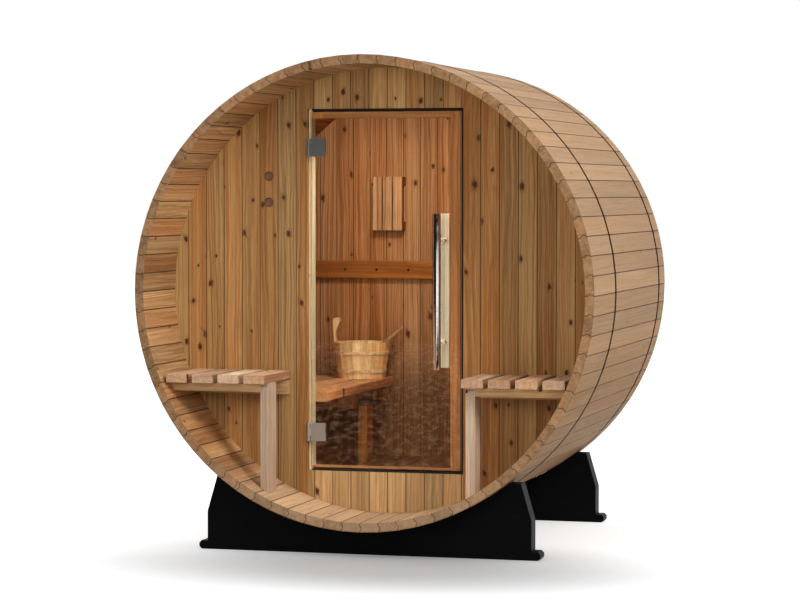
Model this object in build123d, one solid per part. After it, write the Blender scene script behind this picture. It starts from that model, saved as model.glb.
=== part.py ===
from build123d import *
import os
from math import asin, cos, degrees, hypot, pi, sin, sqrt, tan

# Barrel sauna with a glass door, in millimetres. X runs across the barrel, Y from the porch to
# the rear wall and Z up. The origin is on the ground under the middle of the barrel. Sizes that
# give a height inside the barrel are measured from the barrel's own axis.

# ---- Barrel ----
BARREL_OUTER_R = 915.0  # axis to the flat outer face of a stave
BARREL_LENGTH = 1524.0
BARREL_LIFT = 100.0  # ground to the underside of the barrel
STAVE_COUNT = 76  # a multiple of four, so that a seam falls at each quarter
STAVE_THICK = 35.0
STAVE_PLAY = 0.3  # play in each stave joint
SEAM_CHAMFER = 2.0  # makes the small groove that shows outside at each seam
BEAD_R = 12.0
BEAD_REACH = 7.0  # how far a bead stands into its neighbour
BEAD_CENTRE_DEPTH = 13.5  # outer face of the stave to the middle of the bead
BEAD_SIDES = 6  # flats round a whole bead, few because there are so many beads
CROZE_DEPTH = 9.0  # groove across the staves that holds an end wall
SEAT_GAP = 0.3  # between two pieces that seat on each other

# ---- Hoops ----
HOOP_WIDTH = 22.0
HOOP_THICK = 1.0
FRONT_HOOP_FROM_RIM = 420.0
REAR_HOOP_FROM_RIM = 144.0
HOOP_LUG_SEAM = 52  # seam under the lug, counted clockwise from the top, seen from the porch
HOOP_LUG_HEIGHT = 16.0
HOOP_LUG_THICK = 3.0
HOOP_LUG_SPACE = 14.0
HOOP_BOLT_R = 3.0
HOOP_BOLT_HEAD_R = 5.5
HOOP_BOLT_OVERHANG = 9.0

# ---- Cradles ----
CRADLE_THICK = 70.0
FRONT_CRADLE_FROM_RIM = 104.0
REAR_CRADLE_FROM_RIM = 106.5
CRADLE_HORN_HEIGHT = 293.0  # ground to the top of each horn
CRADLE_HORN_TIP = 50.0  # width of the flat on top of a horn
CRADLE_KNEE_HEIGHT = 151.0
CRADLE_KNEE_HALF = 653.0
CRADLE_BASE_HALF = 688.0
CRADLE_BASE_HEIGHT = 34.0
CRADLE_BASE_CHAMFER = 10.0
STRAP_REBATE = 1.5  # room in a cradle for the hoop that passes over it

# ---- End walls ----
PORCH_DEPTH = 360.0  # front rim to the outer face of the front wall
REAR_RECESS = 60.0  # rear rim to the outer face of the rear wall
WALL_THICK = 38.0
BOARD_PITCH = 75.7
BOARD_SHIFT = 11.0  # first board joint to the right of the middle
BOARD_VEE = 2.2  # depth of the groove between two boards

# ---- Doorway, glass door and its seal ----
DOORWAY_WIDTH = 640.0
DOORWAY_HEIGHT = 1440.0
GLASS_THICK = 8.0
GLASS_EDGE_GAP = 12.5  # glass to the edge of the doorway
GLASS_SETBACK = 4.0  # glass behind the face of the wall
JAMB_HINGE_WIDTH = 12.0  # the jamb boards, each measured in from the edge of the doorway
JAMB_LATCH_WIDTH = 57.0  # wide enough to stop the glass
JAMB_HEAD_WIDTH = 37.0
JAMB_SILL_WIDTH = 17.0
JAMB_SETBACK = 10.0  # glass to the front of the jamb
JAMB_DEPTH = 50.0
GASKET_LIP = 6.0
GASKET_FLANGE = 12.0
GASKET_THICK = 2.3

# ---- Hinges ----
HINGE_HEIGHT = 567.0  # above and below the axis
HINGE_TALL = 72.0
HINGE_PLATE_WIDTH = 60.0
HINGE_PLATE_THICK = 5.0
HINGE_BACKPLATE_THICK = 4.0
HINGE_PIN_R = 3.0
HINGE_PIN_PLAY = 0.05
HINGE_KNUCKLE_R = 6.0
HINGE_MIDDLE_TALL = 34.0
HINGE_KNUCKLE_GAP = 0.5
HINGE_PIN_FROM_EDGE = 5.0  # pin to the edge of the doorway
HINGE_PIN_PROUD = 6.0  # pin in front of the face of the wall
HINGE_LEAF_THICK = 3.0
HINGE_LEAF_DEPTH = 18.0
HINGE_RUNNING_GAP = 2.0

# ---- Handle ----
HANDLE_FROM_EDGE = 79.0  # free edge of the glass to the handle
HANDLE_LENGTH = 610.0
HANDLE_TUBE_R = 16.5
HANDLE_STANDOFF = 68.0  # face of the glass to the middle of a bar
HANDLE_BAR_WIDTH = 37.0
HANDLE_BAR_THICK = 28.0
HANDLE_BAR_ROUND = 6.0
HANDLE_POST_SPACING = 400.0
HANDLE_POST_R = 8.0
HANDLE_ROUND_SIDES = 16  # flats round each small post, washer and stud
HANDLE_STUD_R = 5.0  # stud of the outer post, through the glass into the inner post
HANDLE_STUD_LENGTH = 20.0
HANDLE_STUD_PLAY = 1.5
HANDLE_WASHER_R = 13.0
HANDLE_WASHER_THICK = 4.0

# ---- Vents in the front wall ----
VENT_R = 19.0
VENT_HEIGHTS = (453.0, 349.0)
VENT_BOARD_INDEX = -7  # board in which the vents are bored, counted from the middle joint
VENT_PLATE_WIDTH = 110.0
VENT_PLATE_THICK = 15.0
VENT_PLATE_MARGIN = 45.0

# ---- Porch benches ----
SLAT_EASE = 3.0  # planed off the long edges of every slat
PORCH_SEAT_HEIGHT = -322.0
PORCH_SLAT_WIDTH = 86.0
PORCH_SLAT_GAP = 20.0
PORCH_SLAT_THICK = 33.0
PORCH_SLAT_COUNT = 4
PORCH_SEAT_INNER = 393.0  # middle of the barrel to the inner edge of the seat
PORCH_SEAT_FROM_RIM = 30.0
PORCH_FRAME_FROM_RIM = 100.0
PORCH_RAIL_HEIGHT = 36.0
PORCH_RAIL_THICK = 38.0
PORCH_LEG_WIDTH = 37.0
PORCH_LEG_DEPTH = 86.0
PORCH_LEG_INSET = 2.0
PORCH_CLEAT_HEIGHT = 60.0

# ---- Cabin floor and benches ----
FLOOR_HEIGHT = -760.0
FLOOR_BOARD_THICK = 25.0
FLOOR_BOARD_COUNT = 8
FLOOR_BOARD_GAP = 6.0
FLOOR_JOIST_THICK = 38.0
CABIN_END_GAP = 3.0
CABIN_SEAT_HEIGHT = -413.0
CABIN_SEAT_INNER = 262.0
CABIN_SLAT_WIDTH = 100.0
CABIN_SLAT_GAP = 15.0
CABIN_SLAT_THICK = 38.0
CABIN_SLAT_COUNT = 4
CABIN_BEARER_HEIGHT = 64.0
CABIN_BEARER_THICK = 38.0
CABIN_BEARER_INSET = 20.0
CABIN_LEG_WIDTH = 38.0
CABIN_LEG_DEPTH = 89.0
CABIN_LEG_FROM_REAR = 300.0  # rear wall to the middle of the leg

# ---- Backrests ----
BACKREST_LOW = -255.0
BACKREST_SLAT_HEIGHT = 84.0
BACKREST_SLAT_THICK = 19.0
BACKREST_SLAT_GAP = 14.0
BACKREST_SLAT_COUNT = 3
BACKREST_RIB_DEPTH = 42.0
BACKREST_RIB_WIDTH = 38.0
BACKREST_RIB_FROM_WALL = 160.0

# ---- Rear wall rail and light shade ----
RAIL_LOW = 14.0
RAIL_HEIGHT = 76.0
RAIL_THICK = 30.0
SHADE_MIDDLE = -270.0
SHADE_LOW = 224.0
SHADE_HEIGHT = 231.0
SHADE_SLAT_WIDTH = 38.0
SHADE_SLAT_THICK = 12.0
SHADE_SLAT_PITCH = 45.5
SHADE_SLAT_COUNT = 3
SHADE_SLAT_VEE = 3.0  # groove down the middle of each slat
SHADE_BATTEN_HEIGHT = 36.0
SHADE_BATTEN_THICK = 55.0

# ---- Bucket and ladle ----
BUCKET_X = -366.0
BUCKET_Y = 530.0
BUCKET_TOP_R = 122.0
BUCKET_BASE_R = 100.0
BUCKET_HEIGHT = 155.0
BUCKET_WALL = 12.0
BUCKET_FLOOR_LIFT = 10.0
BUCKET_FLOOR_THICK = 12.0
BUCKET_STAVE_COUNT = 20
BUCKET_HOOP_HEIGHTS = (26.0, 104.0)
BUCKET_HOOP_WIDTH = 13.0
BUCKET_HOOP_THICK = 3.0
BUCKET_GRIP_WIDTH = 24.0
BUCKET_GRIP_RISE = 104.0
BUCKET_GRIP_NECK = 14.0
BUCKET_GRIP_HEAD = 34.0
LADLE_LENGTH = 262.0
LADLE_WIDTH = 22.0
LADLE_NECK_WIDTH = 13.0
LADLE_THICK = 11.0
LADLE_TILT = 50.0
LADLE_TURN = 20.0  # towards the rear wall, from straight across the barrel
LADLE_OFFSET = 57.0  # middle of the bucket to the middle of the bowl
LADLE_BOWL_R = 36.0
LADLE_BOWL_BASE_R = 29.0
LADLE_BOWL_DEPTH = 40.0
LADLE_BOWL_WALL = 4.0
LADLE_BOWL_SIDES = 14

# ---- Sizes that follow ----
AXIS_Z = BARREL_OUTER_R + BARREL_LIFT
GROUND = -AXIS_Z
INNER_R = BARREL_OUTER_R - STAVE_THICK
FRONT_RIM = -BARREL_LENGTH / 2
REAR_RIM = BARREL_LENGTH / 2
STAVE_HALF_ANGLE = pi / STAVE_COUNT
STAVE_OUTER_HALF = BARREL_OUTER_R * tan(STAVE_HALF_ANGLE) - STAVE_PLAY / 2
STAVE_INNER_HALF = INNER_R * tan(STAVE_HALF_ANGLE) - STAVE_PLAY / 2
BARREL_CORNER_R = hypot(BARREL_OUTER_R, STAVE_OUTER_HALF - SEAM_CHAMFER)
WALL_R = INNER_R + CROZE_DEPTH - SEAT_GAP  # axis to each flat of the wall's edge
FRONT_WALL = FRONT_RIM + PORCH_DEPTH  # outer face
FRONT_WALL_BACK = FRONT_WALL + WALL_THICK
REAR_WALL_BACK = REAR_RIM - REAR_RECESS
REAR_WALL = REAR_WALL_BACK - WALL_THICK  # face towards the cabin
CABIN_MIDDLE = (FRONT_WALL_BACK + REAR_WALL) / 2
HOOP_R = BARREL_OUTER_R + SEAT_GAP  # axis to the inside of a hoop, where it lies flat on a stave
DOOR_HALF = DOORWAY_WIDTH / 2
DOOR_TOP = DOORWAY_HEIGHT / 2
GLASS_FRONT = FRONT_WALL + GLASS_SETBACK
GLASS_BACK = GLASS_FRONT + GLASS_THICK
GLASS_HALF = DOOR_HALF - GLASS_EDGE_GAP
GLASS_TOP = DOOR_TOP - GLASS_EDGE_GAP
JAMB_FRONT = GLASS_BACK + JAMB_SETBACK
PIN_X = -DOOR_HALF + HINGE_PIN_FROM_EDGE
PIN_Y = FRONT_WALL - HINGE_PIN_PROUD

os.makedirs("parts", exist_ok=True)


def save(node, *solids):
    """Write one node, moved from the barrel's axis to its height above the ground."""
    whole = Compound(children=[Pos(0, 0, AXIS_Z) * solid for solid in solids])
    export_step(whole, f"parts/{node}.step")


def block(x, y, z):
    """A board between two values of X, Y and Z."""
    size = Box(x[1] - x[0], y[1] - y[0], z[1] - z[0], align=(Align.MIN, Align.MIN, Align.MIN))
    return Pos(x[0], y[0], z[0]) * size


def along_y(outline, front, back):
    """A shape drawn in X and Z, run from the front value of Y to the back one."""
    return Pos(0, back, 0) * extrude(Plane.XZ * outline, amount=back - front)


def at_left(solid):
    """The same piece on the other side of the barrel."""
    return mirror(solid, about=Plane.YZ)


def eased(board):
    """A board with its long edges planed off, for a slat that people sit on."""
    return chamfer(board.edges().filter_by(Axis.Y), SLAT_EASE)


def single(shape):
    """The one solid in a shape that came from a cut."""
    return shape.solids()[0]


def ring_of_flats(radius):
    """An outline with one flat for each stave, the given distance from the axis."""
    return RegularPolygon(radius, STAVE_COUNT, major_radius=False)


BARREL_BORE = along_y(ring_of_flats(INNER_R - SEAT_GAP), FRONT_RIM, REAR_RIM)


# ---- Staves: bead and cove joints all round, with a croze groove for each end wall ----
def seam_round(side, radius):
    """The round of a bead, centred a little behind the seam on the stave that carries it."""
    along = BARREL_OUTER_R - BEAD_CENTRE_DEPTH
    across = BEAD_R - BEAD_REACH
    x = side * along * sin(STAVE_HALF_ANGLE) + across * cos(STAVE_HALF_ANGLE)
    z = along * cos(STAVE_HALF_ANGLE) - side * across * sin(STAVE_HALF_ANGLE)
    turn = Rot(0, 0, -side * degrees(STAVE_HALF_ANGLE))
    return Pos(x, z) * turn * RegularPolygon(radius, BEAD_SIDES)


def stave_outline():
    """The stave at the top of the barrel, seen from the porch."""
    corners = (
        (-STAVE_OUTER_HALF, BARREL_OUTER_R),
        (-STAVE_INNER_HALF, INNER_R),
        (STAVE_INNER_HALF, INNER_R),
        (STAVE_OUTER_HALF, BARREL_OUTER_R),
    )
    blank = make_face(Polyline(*corners, close=True))
    blank = chamfer(blank.vertices().group_by(Axis.Y)[-1], SEAM_CHAMFER)
    return blank + seam_round(-1, BEAD_R) - seam_round(1, BEAD_R + STAVE_PLAY)


def make_stave():
    stave = along_y(stave_outline(), FRONT_RIM, REAR_RIM)
    for wall_front in (FRONT_WALL, REAR_WALL):
        croze = block(
            (-STAVE_OUTER_HALF, STAVE_OUTER_HALF),
            (wall_front - SEAT_GAP, wall_front + WALL_THICK + SEAT_GAP),
            (INNER_R - CROZE_DEPTH, INNER_R + CROZE_DEPTH),
        )
        stave -= croze
    return single(stave)


stave = make_stave()
staves_a_quarter = STAVE_COUNT // 4
quarters = ("staves_upper_right", "staves_lower_right", "staves_lower_left", "staves_upper_left")
for quarter, name in enumerate(quarters):
    places = [quarter * staves_a_quarter + i + 0.5 for i in range(staves_a_quarter)]
    save(name, *[Rot(0, place * 360 / STAVE_COUNT, 0) * stave for place in places])


# ---- Hoops: a steel band with a bolted lug, drawn tight round the staves ----
def make_hoop(middle):
    band = ring_of_flats(HOOP_R + HOOP_THICK) - ring_of_flats(HOOP_R)
    front = middle - HOOP_WIDTH / 2
    back = middle + HOOP_WIDTH / 2
    ring = along_y(band, front, back)
    half_space = HOOP_LUG_SPACE / 2
    foot = BARREL_CORNER_R + SEAT_GAP
    top = HOOP_R + HOOP_LUG_HEIGHT
    ring -= block((-half_space, half_space), (front, back), (HOOP_R - 1, top))
    for side in (-1, 1):
        inner, outer = sorted((side * half_space, side * (half_space + HOOP_LUG_THICK)))
        ring += block((inner, outer), (front, back), (foot, top))
    bolt_place = Pos(0, middle, HOOP_R + HOOP_LUG_HEIGHT * 0.6) * Rot(0, 90, 0)
    bolt_half = half_space + HOOP_LUG_THICK + HOOP_BOLT_OVERHANG
    ring += bolt_place * extrude(RegularPolygon(HOOP_BOLT_R, 12), amount=bolt_half, both=True)
    nut = extrude(RegularPolygon(HOOP_BOLT_HEAD_R, 6), amount=HOOP_BOLT_HEAD_R)
    for end in (half_space + HOOP_LUG_THICK, -half_space - HOOP_LUG_THICK - HOOP_BOLT_HEAD_R):
        ring += bolt_place * Pos(0, 0, end) * nut
    return Rot(0, HOOP_LUG_SEAM * 360 / STAVE_COUNT, 0) * single(ring)


front_hoop_middle = FRONT_RIM + FRONT_HOOP_FROM_RIM
rear_hoop_middle = REAR_RIM - REAR_HOOP_FROM_RIM
save("hoop_front", make_hoop(front_hoop_middle))
save("hoop_rear", make_hoop(rear_hoop_middle))


# ---- Cradles: solid timber saddles cut to the barrel, on a wider foot ----
def cradle_outline():
    horn = GROUND + CRADLE_HORN_HEIGHT
    seat_half = sqrt(BARREL_OUTER_R**2 - horn**2)
    knee = GROUND + CRADLE_KNEE_HEIGHT
    foot = GROUND + CRADLE_BASE_HEIGHT
    right = (
        (0, horn),
        (seat_half + CRADLE_HORN_TIP, horn),
        (CRADLE_KNEE_HALF, knee),
        (CRADLE_KNEE_HALF, foot),
        (CRADLE_BASE_HALF - CRADLE_BASE_CHAMFER, foot),
        (CRADLE_BASE_HALF, foot - CRADLE_BASE_CHAMFER),
        (CRADLE_BASE_HALF, GROUND + CRADLE_BASE_CHAMFER),
        (CRADLE_BASE_HALF - CRADLE_BASE_CHAMFER, GROUND),
        (0, GROUND),
    )
    left = [(-x, z) for x, z in reversed(right[1:-1])]
    body = make_face(Polyline(*right, *left, close=True))
    return body - ring_of_flats(BARREL_OUTER_R + SEAT_GAP)


def make_cradle(front):
    cradle = along_y(cradle_outline(), front, front + CRADLE_THICK)
    for middle in (front_hoop_middle, rear_hoop_middle):
        room = HOOP_WIDTH / 2 + 1
        rebate = ring_of_flats(HOOP_R + HOOP_THICK + STRAP_REBATE)
        cradle -= along_y(rebate, middle - room, middle + room)
    return single(cradle)


save("cradle_front", make_cradle(FRONT_RIM + FRONT_CRADLE_FROM_RIM))
save("cradle_rear", make_cradle(REAR_RIM - REAR_CRADLE_FROM_RIM - CRADLE_THICK))


# ---- End walls: upright boards with a small groove at each joint ----
def board_joint(index):
    return BOARD_SHIFT + index * BOARD_PITCH


def wall_panel(x, z, front):
    """The part of an end wall between two values of X and of Z, cut from the round wall."""
    window = Pos((x[0] + x[1]) / 2, (z[0] + z[1]) / 2) * Rectangle(x[1] - x[0], z[1] - z[0])
    panel = along_y(ring_of_flats(WALL_R) & window, front, front + WALL_THICK)
    reach = int(WALL_R / BOARD_PITCH)
    for index in range(-reach, reach + 1):
        joint = board_joint(index)
        if x[0] - 1 < joint < x[1] + 1:
            for face in (front, front + WALL_THICK):
                vee = Pos(joint, face, 0) * Rot(0, 0, 45)
                side = BOARD_VEE * sqrt(2)
                panel -= vee * Box(side, side, 2 * WALL_R)
    return single(panel)


wall_reach = WALL_R / cos(STAVE_HALF_ANGLE)
full = (-wall_reach, wall_reach)
vent_left = board_joint(VENT_BOARD_INDEX)
vent_right = board_joint(VENT_BOARD_INDEX + 1)
vent_x = (vent_left + vent_right) / 2
save(
    "front_wall_left",
    wall_panel((-wall_reach, vent_left), full, FRONT_WALL),
    wall_panel((vent_right, -DOOR_HALF), full, FRONT_WALL),
)
vent_board = wall_panel((vent_left, vent_right), full, FRONT_WALL)
for height in VENT_HEIGHTS:
    vent = Pos(vent_x, FRONT_WALL + WALL_THICK / 2, height) * Rot(90, 0, 0)
    vent_board -= vent * Cylinder(VENT_R, WALL_THICK)
save("front_wall_vent_board", single(vent_board))
save("front_wall_right", wall_panel((DOOR_HALF, wall_reach), full, FRONT_WALL))
save("front_wall_head", wall_panel((-DOOR_HALF, DOOR_HALF), (DOOR_TOP, wall_reach), FRONT_WALL))
save("front_wall_sill", wall_panel((-DOOR_HALF, DOOR_HALF), (-wall_reach, -DOOR_TOP), FRONT_WALL))
save("rear_wall", wall_panel(full, full, REAR_WALL))
save(
    "vent_cover",
    block(
        (vent_x - VENT_PLATE_WIDTH / 2, vent_x + VENT_PLATE_WIDTH / 2),
        (FRONT_WALL_BACK + SEAT_GAP, FRONT_WALL_BACK + SEAT_GAP + VENT_PLATE_THICK),
        (min(VENT_HEIGHTS) - VENT_PLATE_MARGIN, max(VENT_HEIGHTS) + VENT_PLATE_MARGIN),
    ),
)

# ---- Door jamb: four boards that line the doorway behind the glass ----
jamb_y = (JAMB_FRONT, JAMB_FRONT + JAMB_DEPTH)
jamb_outer = DOOR_HALF - SEAT_GAP
jamb_outer_top = DOOR_TOP - SEAT_GAP
hinge_stile_x = (-jamb_outer, -DOOR_HALF + JAMB_HINGE_WIDTH)
latch_stile_x = (DOOR_HALF - JAMB_LATCH_WIDTH, jamb_outer)
jamb_between = (hinge_stile_x[1] + SEAT_GAP, latch_stile_x[0] - SEAT_GAP)
save(
    "door_jamb",
    block(hinge_stile_x, jamb_y, (-jamb_outer_top, jamb_outer_top)),
    block(latch_stile_x, jamb_y, (-jamb_outer_top, jamb_outer_top)),
    block(jamb_between, jamb_y, (DOOR_TOP - JAMB_HEAD_WIDTH, jamb_outer_top)),
    block(jamb_between, jamb_y, (-jamb_outer_top, -DOOR_TOP + JAMB_SILL_WIDTH)),
)


# ---- Gasket: a rubber angle along the top, bottom and latch side of the doorway ----
def frame_outline(half, top, width):
    return Rectangle(2 * half, 2 * top) - Rectangle(2 * (half - width), 2 * (top - width))


gasket_back = JAMB_FRONT - SEAT_GAP
lip = frame_outline(jamb_outer, jamb_outer_top, GASKET_LIP)
flange = frame_outline(jamb_outer, jamb_outer_top, GASKET_FLANGE)
gasket = along_y(lip, FRONT_WALL, gasket_back) + along_y(flange, gasket_back - GASKET_THICK, gasket_back)
hinge_side = block(
    (-DOOR_HALF, hinge_stile_x[1] + GASKET_LIP),
    (FRONT_WALL - 1, JAMB_FRONT),
    (-DOOR_TOP, DOOR_TOP),
)
save("door_gasket", single(gasket - hinge_side))

# ---- Glass door ----
handle_x = GLASS_HALF - HANDLE_FROM_EDGE
post_heights = (-HANDLE_POST_SPACING / 2, HANDLE_POST_SPACING / 2)


def across_glass(start, end, radius):
    """A small round along Y between two values of Y, at the middle of the handle."""
    outline = Pos(handle_x, 0) * RegularPolygon(radius, HANDLE_ROUND_SIDES)
    return along_y(outline, min(start, end), max(start, end))


glass = block((-GLASS_HALF, GLASS_HALF), (GLASS_FRONT, GLASS_BACK), (-GLASS_TOP, GLASS_TOP))
for height in post_heights:
    glass -= Pos(0, 0, height) * across_glass(GLASS_FRONT, GLASS_BACK, HANDLE_STUD_R + HANDLE_STUD_PLAY)
save("door_glass", glass)


# ---- Hinges: a leaf and pin on the doorway's edge, and a clamp on the glass ----
def knuckle(low, high):
    barrel = Cylinder(HINGE_KNUCKLE_R, high - low, align=(Align.CENTER, Align.CENTER, Align.MIN))
    return Pos(PIN_X, PIN_Y, low) * barrel


def hinge_leaf(height):
    low = height - HINGE_TALL / 2
    high = height + HINGE_TALL / 2
    middle_low = height - HINGE_MIDDLE_TALL / 2 - HINGE_KNUCKLE_GAP
    middle_high = height + HINGE_MIDDLE_TALL / 2 + HINGE_KNUCKLE_GAP
    leaf_x = (-DOOR_HALF + SEAT_GAP, -DOOR_HALF + SEAT_GAP + HINGE_LEAF_THICK)
    leaf_front = PIN_Y + HINGE_KNUCKLE_R + HINGE_RUNNING_GAP
    leaf = block(leaf_x, (leaf_front, leaf_front + HINGE_LEAF_DEPTH), (low, high))
    for end_low, end_high in ((low, middle_low), (middle_high, high)):
        leaf += block(leaf_x, (PIN_Y, leaf_front), (end_low, end_high))
        leaf += knuckle(end_low, end_high)
    leaf += Pos(PIN_X, PIN_Y, height) * Cylinder(HINGE_PIN_R, HINGE_TALL)
    return single(leaf)


def hinge_clamp(height):
    low = height - HINGE_TALL / 2
    high = height + HINGE_TALL / 2
    plate_left = PIN_X + HINGE_KNUCKLE_R + HINGE_RUNNING_GAP
    plate_y = (GLASS_FRONT - SEAT_GAP - HINGE_PLATE_THICK, GLASS_FRONT - SEAT_GAP)
    clamp = block((plate_left, plate_left + HINGE_PLATE_WIDTH), plate_y, (low, high))
    middle = (height - HINGE_MIDDLE_TALL / 2, height + HINGE_MIDDLE_TALL / 2)
    clamp += block((PIN_X, plate_left), (PIN_Y, plate_y[1]), middle)
    clamp += knuckle(*middle)
    clamp -= Pos(PIN_X, PIN_Y, height) * Cylinder(HINGE_PIN_R + HINGE_PIN_PLAY, HINGE_TALL)
    back_y = (GLASS_BACK + SEAT_GAP, GLASS_BACK + SEAT_GAP + HINGE_BACKPLATE_THICK)
    backplate = block((plate_left, plate_left + HINGE_PLATE_WIDTH), back_y, (low, high))
    return single(clamp), backplate


save("hinge_wall_leaves", hinge_leaf(HINGE_HEIGHT), hinge_leaf(-HINGE_HEIGHT))
clamp_upper, backplate_upper = hinge_clamp(HINGE_HEIGHT)
clamp_lower, backplate_lower = hinge_clamp(-HINGE_HEIGHT)
save("hinge_clamps", clamp_upper, clamp_lower)
save("hinge_backplates", backplate_upper, backplate_lower)

# ---- Handle: a steel tube outside and a wood bar inside, on two posts each ----
def handle_post(glass_face, bar_face):
    """A post with its washer, from the face of the glass to the near side of a bar."""
    outward = 1 if bar_face > glass_face else -1
    start = glass_face + outward * SEAT_GAP
    washer = across_glass(start, start + outward * HANDLE_WASHER_THICK, HANDLE_WASHER_R)
    return across_glass(start, bar_face, HANDLE_POST_R) + washer


tube_y = GLASS_FRONT - HANDLE_STANDOFF
handle_outer = Pos(handle_x, tube_y, 0) * Cylinder(HANDLE_TUBE_R, HANDLE_LENGTH)
bar_y = GLASS_BACK + HANDLE_STANDOFF
bar_outline = RectangleRounded(HANDLE_BAR_WIDTH, HANDLE_BAR_THICK, HANDLE_BAR_ROUND)
handle_inner = Pos(handle_x, bar_y, -HANDLE_LENGTH / 2) * extrude(bar_outline, amount=HANDLE_LENGTH)
stud_end = GLASS_BACK + HANDLE_STUD_LENGTH
for height in post_heights:
    level = Pos(0, 0, height)
    handle_outer += level * handle_post(GLASS_FRONT, tube_y)
    handle_outer += level * across_glass(GLASS_FRONT - SEAT_GAP, stud_end, HANDLE_STUD_R)
    handle_inner += level * handle_post(GLASS_BACK, bar_y)
    socket_end = stud_end + HANDLE_STUD_PLAY
    handle_inner -= level * across_glass(GLASS_BACK, socket_end, HANDLE_STUD_R + SEAT_GAP)
save("handle_outer", single(handle_outer))
save("handle_inner", single(handle_inner))

# ---- Porch benches: slats from the front to the wall, on a rail, a leg and a cleat ----
porch_pitch = PORCH_SLAT_WIDTH + PORCH_SLAT_GAP
porch_outer = PORCH_SEAT_INNER + (PORCH_SLAT_COUNT - 1) * porch_pitch + PORCH_SLAT_WIDTH
slat_bottom = PORCH_SEAT_HEIGHT - PORCH_SLAT_THICK
frame_top = slat_bottom - SEAT_GAP
porch_slats = []
for index in range(PORCH_SLAT_COUNT):
    slat_x = PORCH_SEAT_INNER + index * porch_pitch
    slat = block(
        (slat_x, slat_x + PORCH_SLAT_WIDTH),
        (FRONT_RIM + PORCH_SEAT_FROM_RIM, FRONT_WALL - SEAT_GAP),
        (slat_bottom, PORCH_SEAT_HEIGHT),
    )
    porch_slats.append(eased(slat))
leg_x = (PORCH_SEAT_INNER + PORCH_LEG_INSET, PORCH_SEAT_INNER + PORCH_LEG_INSET + PORCH_LEG_WIDTH)
frame_front = FRONT_RIM + PORCH_FRAME_FROM_RIM
porch_leg = block(leg_x, (frame_front, frame_front + PORCH_LEG_DEPTH), (-INNER_R, frame_top))
porch_rail = block(
    (leg_x[1] + SEAT_GAP, INNER_R),
    (frame_front, frame_front + PORCH_RAIL_THICK),
    (frame_top - PORCH_RAIL_HEIGHT, frame_top),
)
porch_cleat = block(
    (PORCH_SEAT_INNER, INNER_R),
    (FRONT_WALL - SEAT_GAP - PORCH_RAIL_THICK, FRONT_WALL - SEAT_GAP),
    (frame_top - PORCH_CLEAT_HEIGHT, frame_top),
)
porch_frame = [single(piece & BARREL_BORE) for piece in (porch_leg, porch_rail, porch_cleat)]
save("porch_slats_right", *porch_slats)
save("porch_slats_left", *[at_left(slat) for slat in porch_slats])
save("porch_frame_right", *porch_frame)
save("porch_frame_left", *[at_left(piece) for piece in porch_frame])

# ---- Cabin floor: boards from front to back on joists cut to the staves ----
floor_bottom = FLOOR_HEIGHT - FLOOR_BOARD_THICK
floor_half = sqrt((INNER_R - SEAT_GAP) ** 2 - floor_bottom**2)
floor_pitch = (2 * floor_half + FLOOR_BOARD_GAP) / FLOOR_BOARD_COUNT
cabin_y = (FRONT_WALL_BACK + CABIN_END_GAP, REAR_WALL - CABIN_END_GAP)
floor_boards = []
for index in range(FLOOR_BOARD_COUNT):
    board_x = -floor_half + index * floor_pitch
    floor_boards.append(
        block(
            (board_x, board_x + floor_pitch - FLOOR_BOARD_GAP), cabin_y, (floor_bottom, FLOOR_HEIGHT)
        )
    )
save("floor_boards", *floor_boards)
bearer_starts = (
    FRONT_WALL_BACK + SEAT_GAP,
    CABIN_MIDDLE - CABIN_BEARER_THICK / 2,
    REAR_WALL - SEAT_GAP - CABIN_BEARER_THICK,
)
floor_joists = []
for start in bearer_starts:
    joist = block(
        (-floor_half, floor_half), (start, start + FLOOR_JOIST_THICK), (-INNER_R, floor_bottom - SEAT_GAP)
    )
    floor_joists.append(single(joist & BARREL_BORE))
save("floor_joists", *floor_joists)

# ---- Cabin benches: slats along the cabin on three bearers and a leg ----
cabin_pitch = CABIN_SLAT_WIDTH + CABIN_SLAT_GAP
seat_bottom = CABIN_SEAT_HEIGHT - CABIN_SLAT_THICK
bearer_top = seat_bottom - SEAT_GAP
bearer_bottom = bearer_top - CABIN_BEARER_HEIGHT
bearer_inner = CABIN_SEAT_INNER + CABIN_BEARER_INSET
beside_jamb = DOOR_HALF + CABIN_END_GAP
jamb_room = block(
    (0, beside_jamb),
    (FRONT_WALL, JAMB_FRONT + JAMB_DEPTH + CABIN_END_GAP),
    (seat_bottom, CABIN_SEAT_HEIGHT),
)
cabin_slats = []
for index in range(CABIN_SLAT_COUNT):
    slat_x = CABIN_SEAT_INNER + index * cabin_pitch
    slat = block((slat_x, slat_x + CABIN_SLAT_WIDTH), cabin_y, (seat_bottom, CABIN_SEAT_HEIGHT))
    cabin_slats.append(single(eased(slat) - jamb_room))
leg_middle = REAR_WALL - CABIN_LEG_FROM_REAR
bearer_inners = (max(bearer_inner, beside_jamb), bearer_inner, bearer_inner)
cabin_frame = []
for inner, start in zip(bearer_inners, bearer_starts):
    bearer = block((inner, INNER_R), (start, start + CABIN_BEARER_THICK), (bearer_bottom, bearer_top))
    cabin_frame.append(single(bearer & BARREL_BORE))
cabin_frame.append(
    block(
        (bearer_inner, bearer_inner + CABIN_LEG_WIDTH),
        (leg_middle - CABIN_LEG_DEPTH / 2, leg_middle + CABIN_LEG_DEPTH / 2),
        (FLOOR_HEIGHT + SEAT_GAP, bearer_bottom - SEAT_GAP),
    )
)
save("cabin_slats_right", *cabin_slats)
save("cabin_slats_left", *[at_left(slat) for slat in cabin_slats])
save("cabin_frame_right", *cabin_frame)
save("cabin_frame_left", *[at_left(piece) for piece in cabin_frame])

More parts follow.
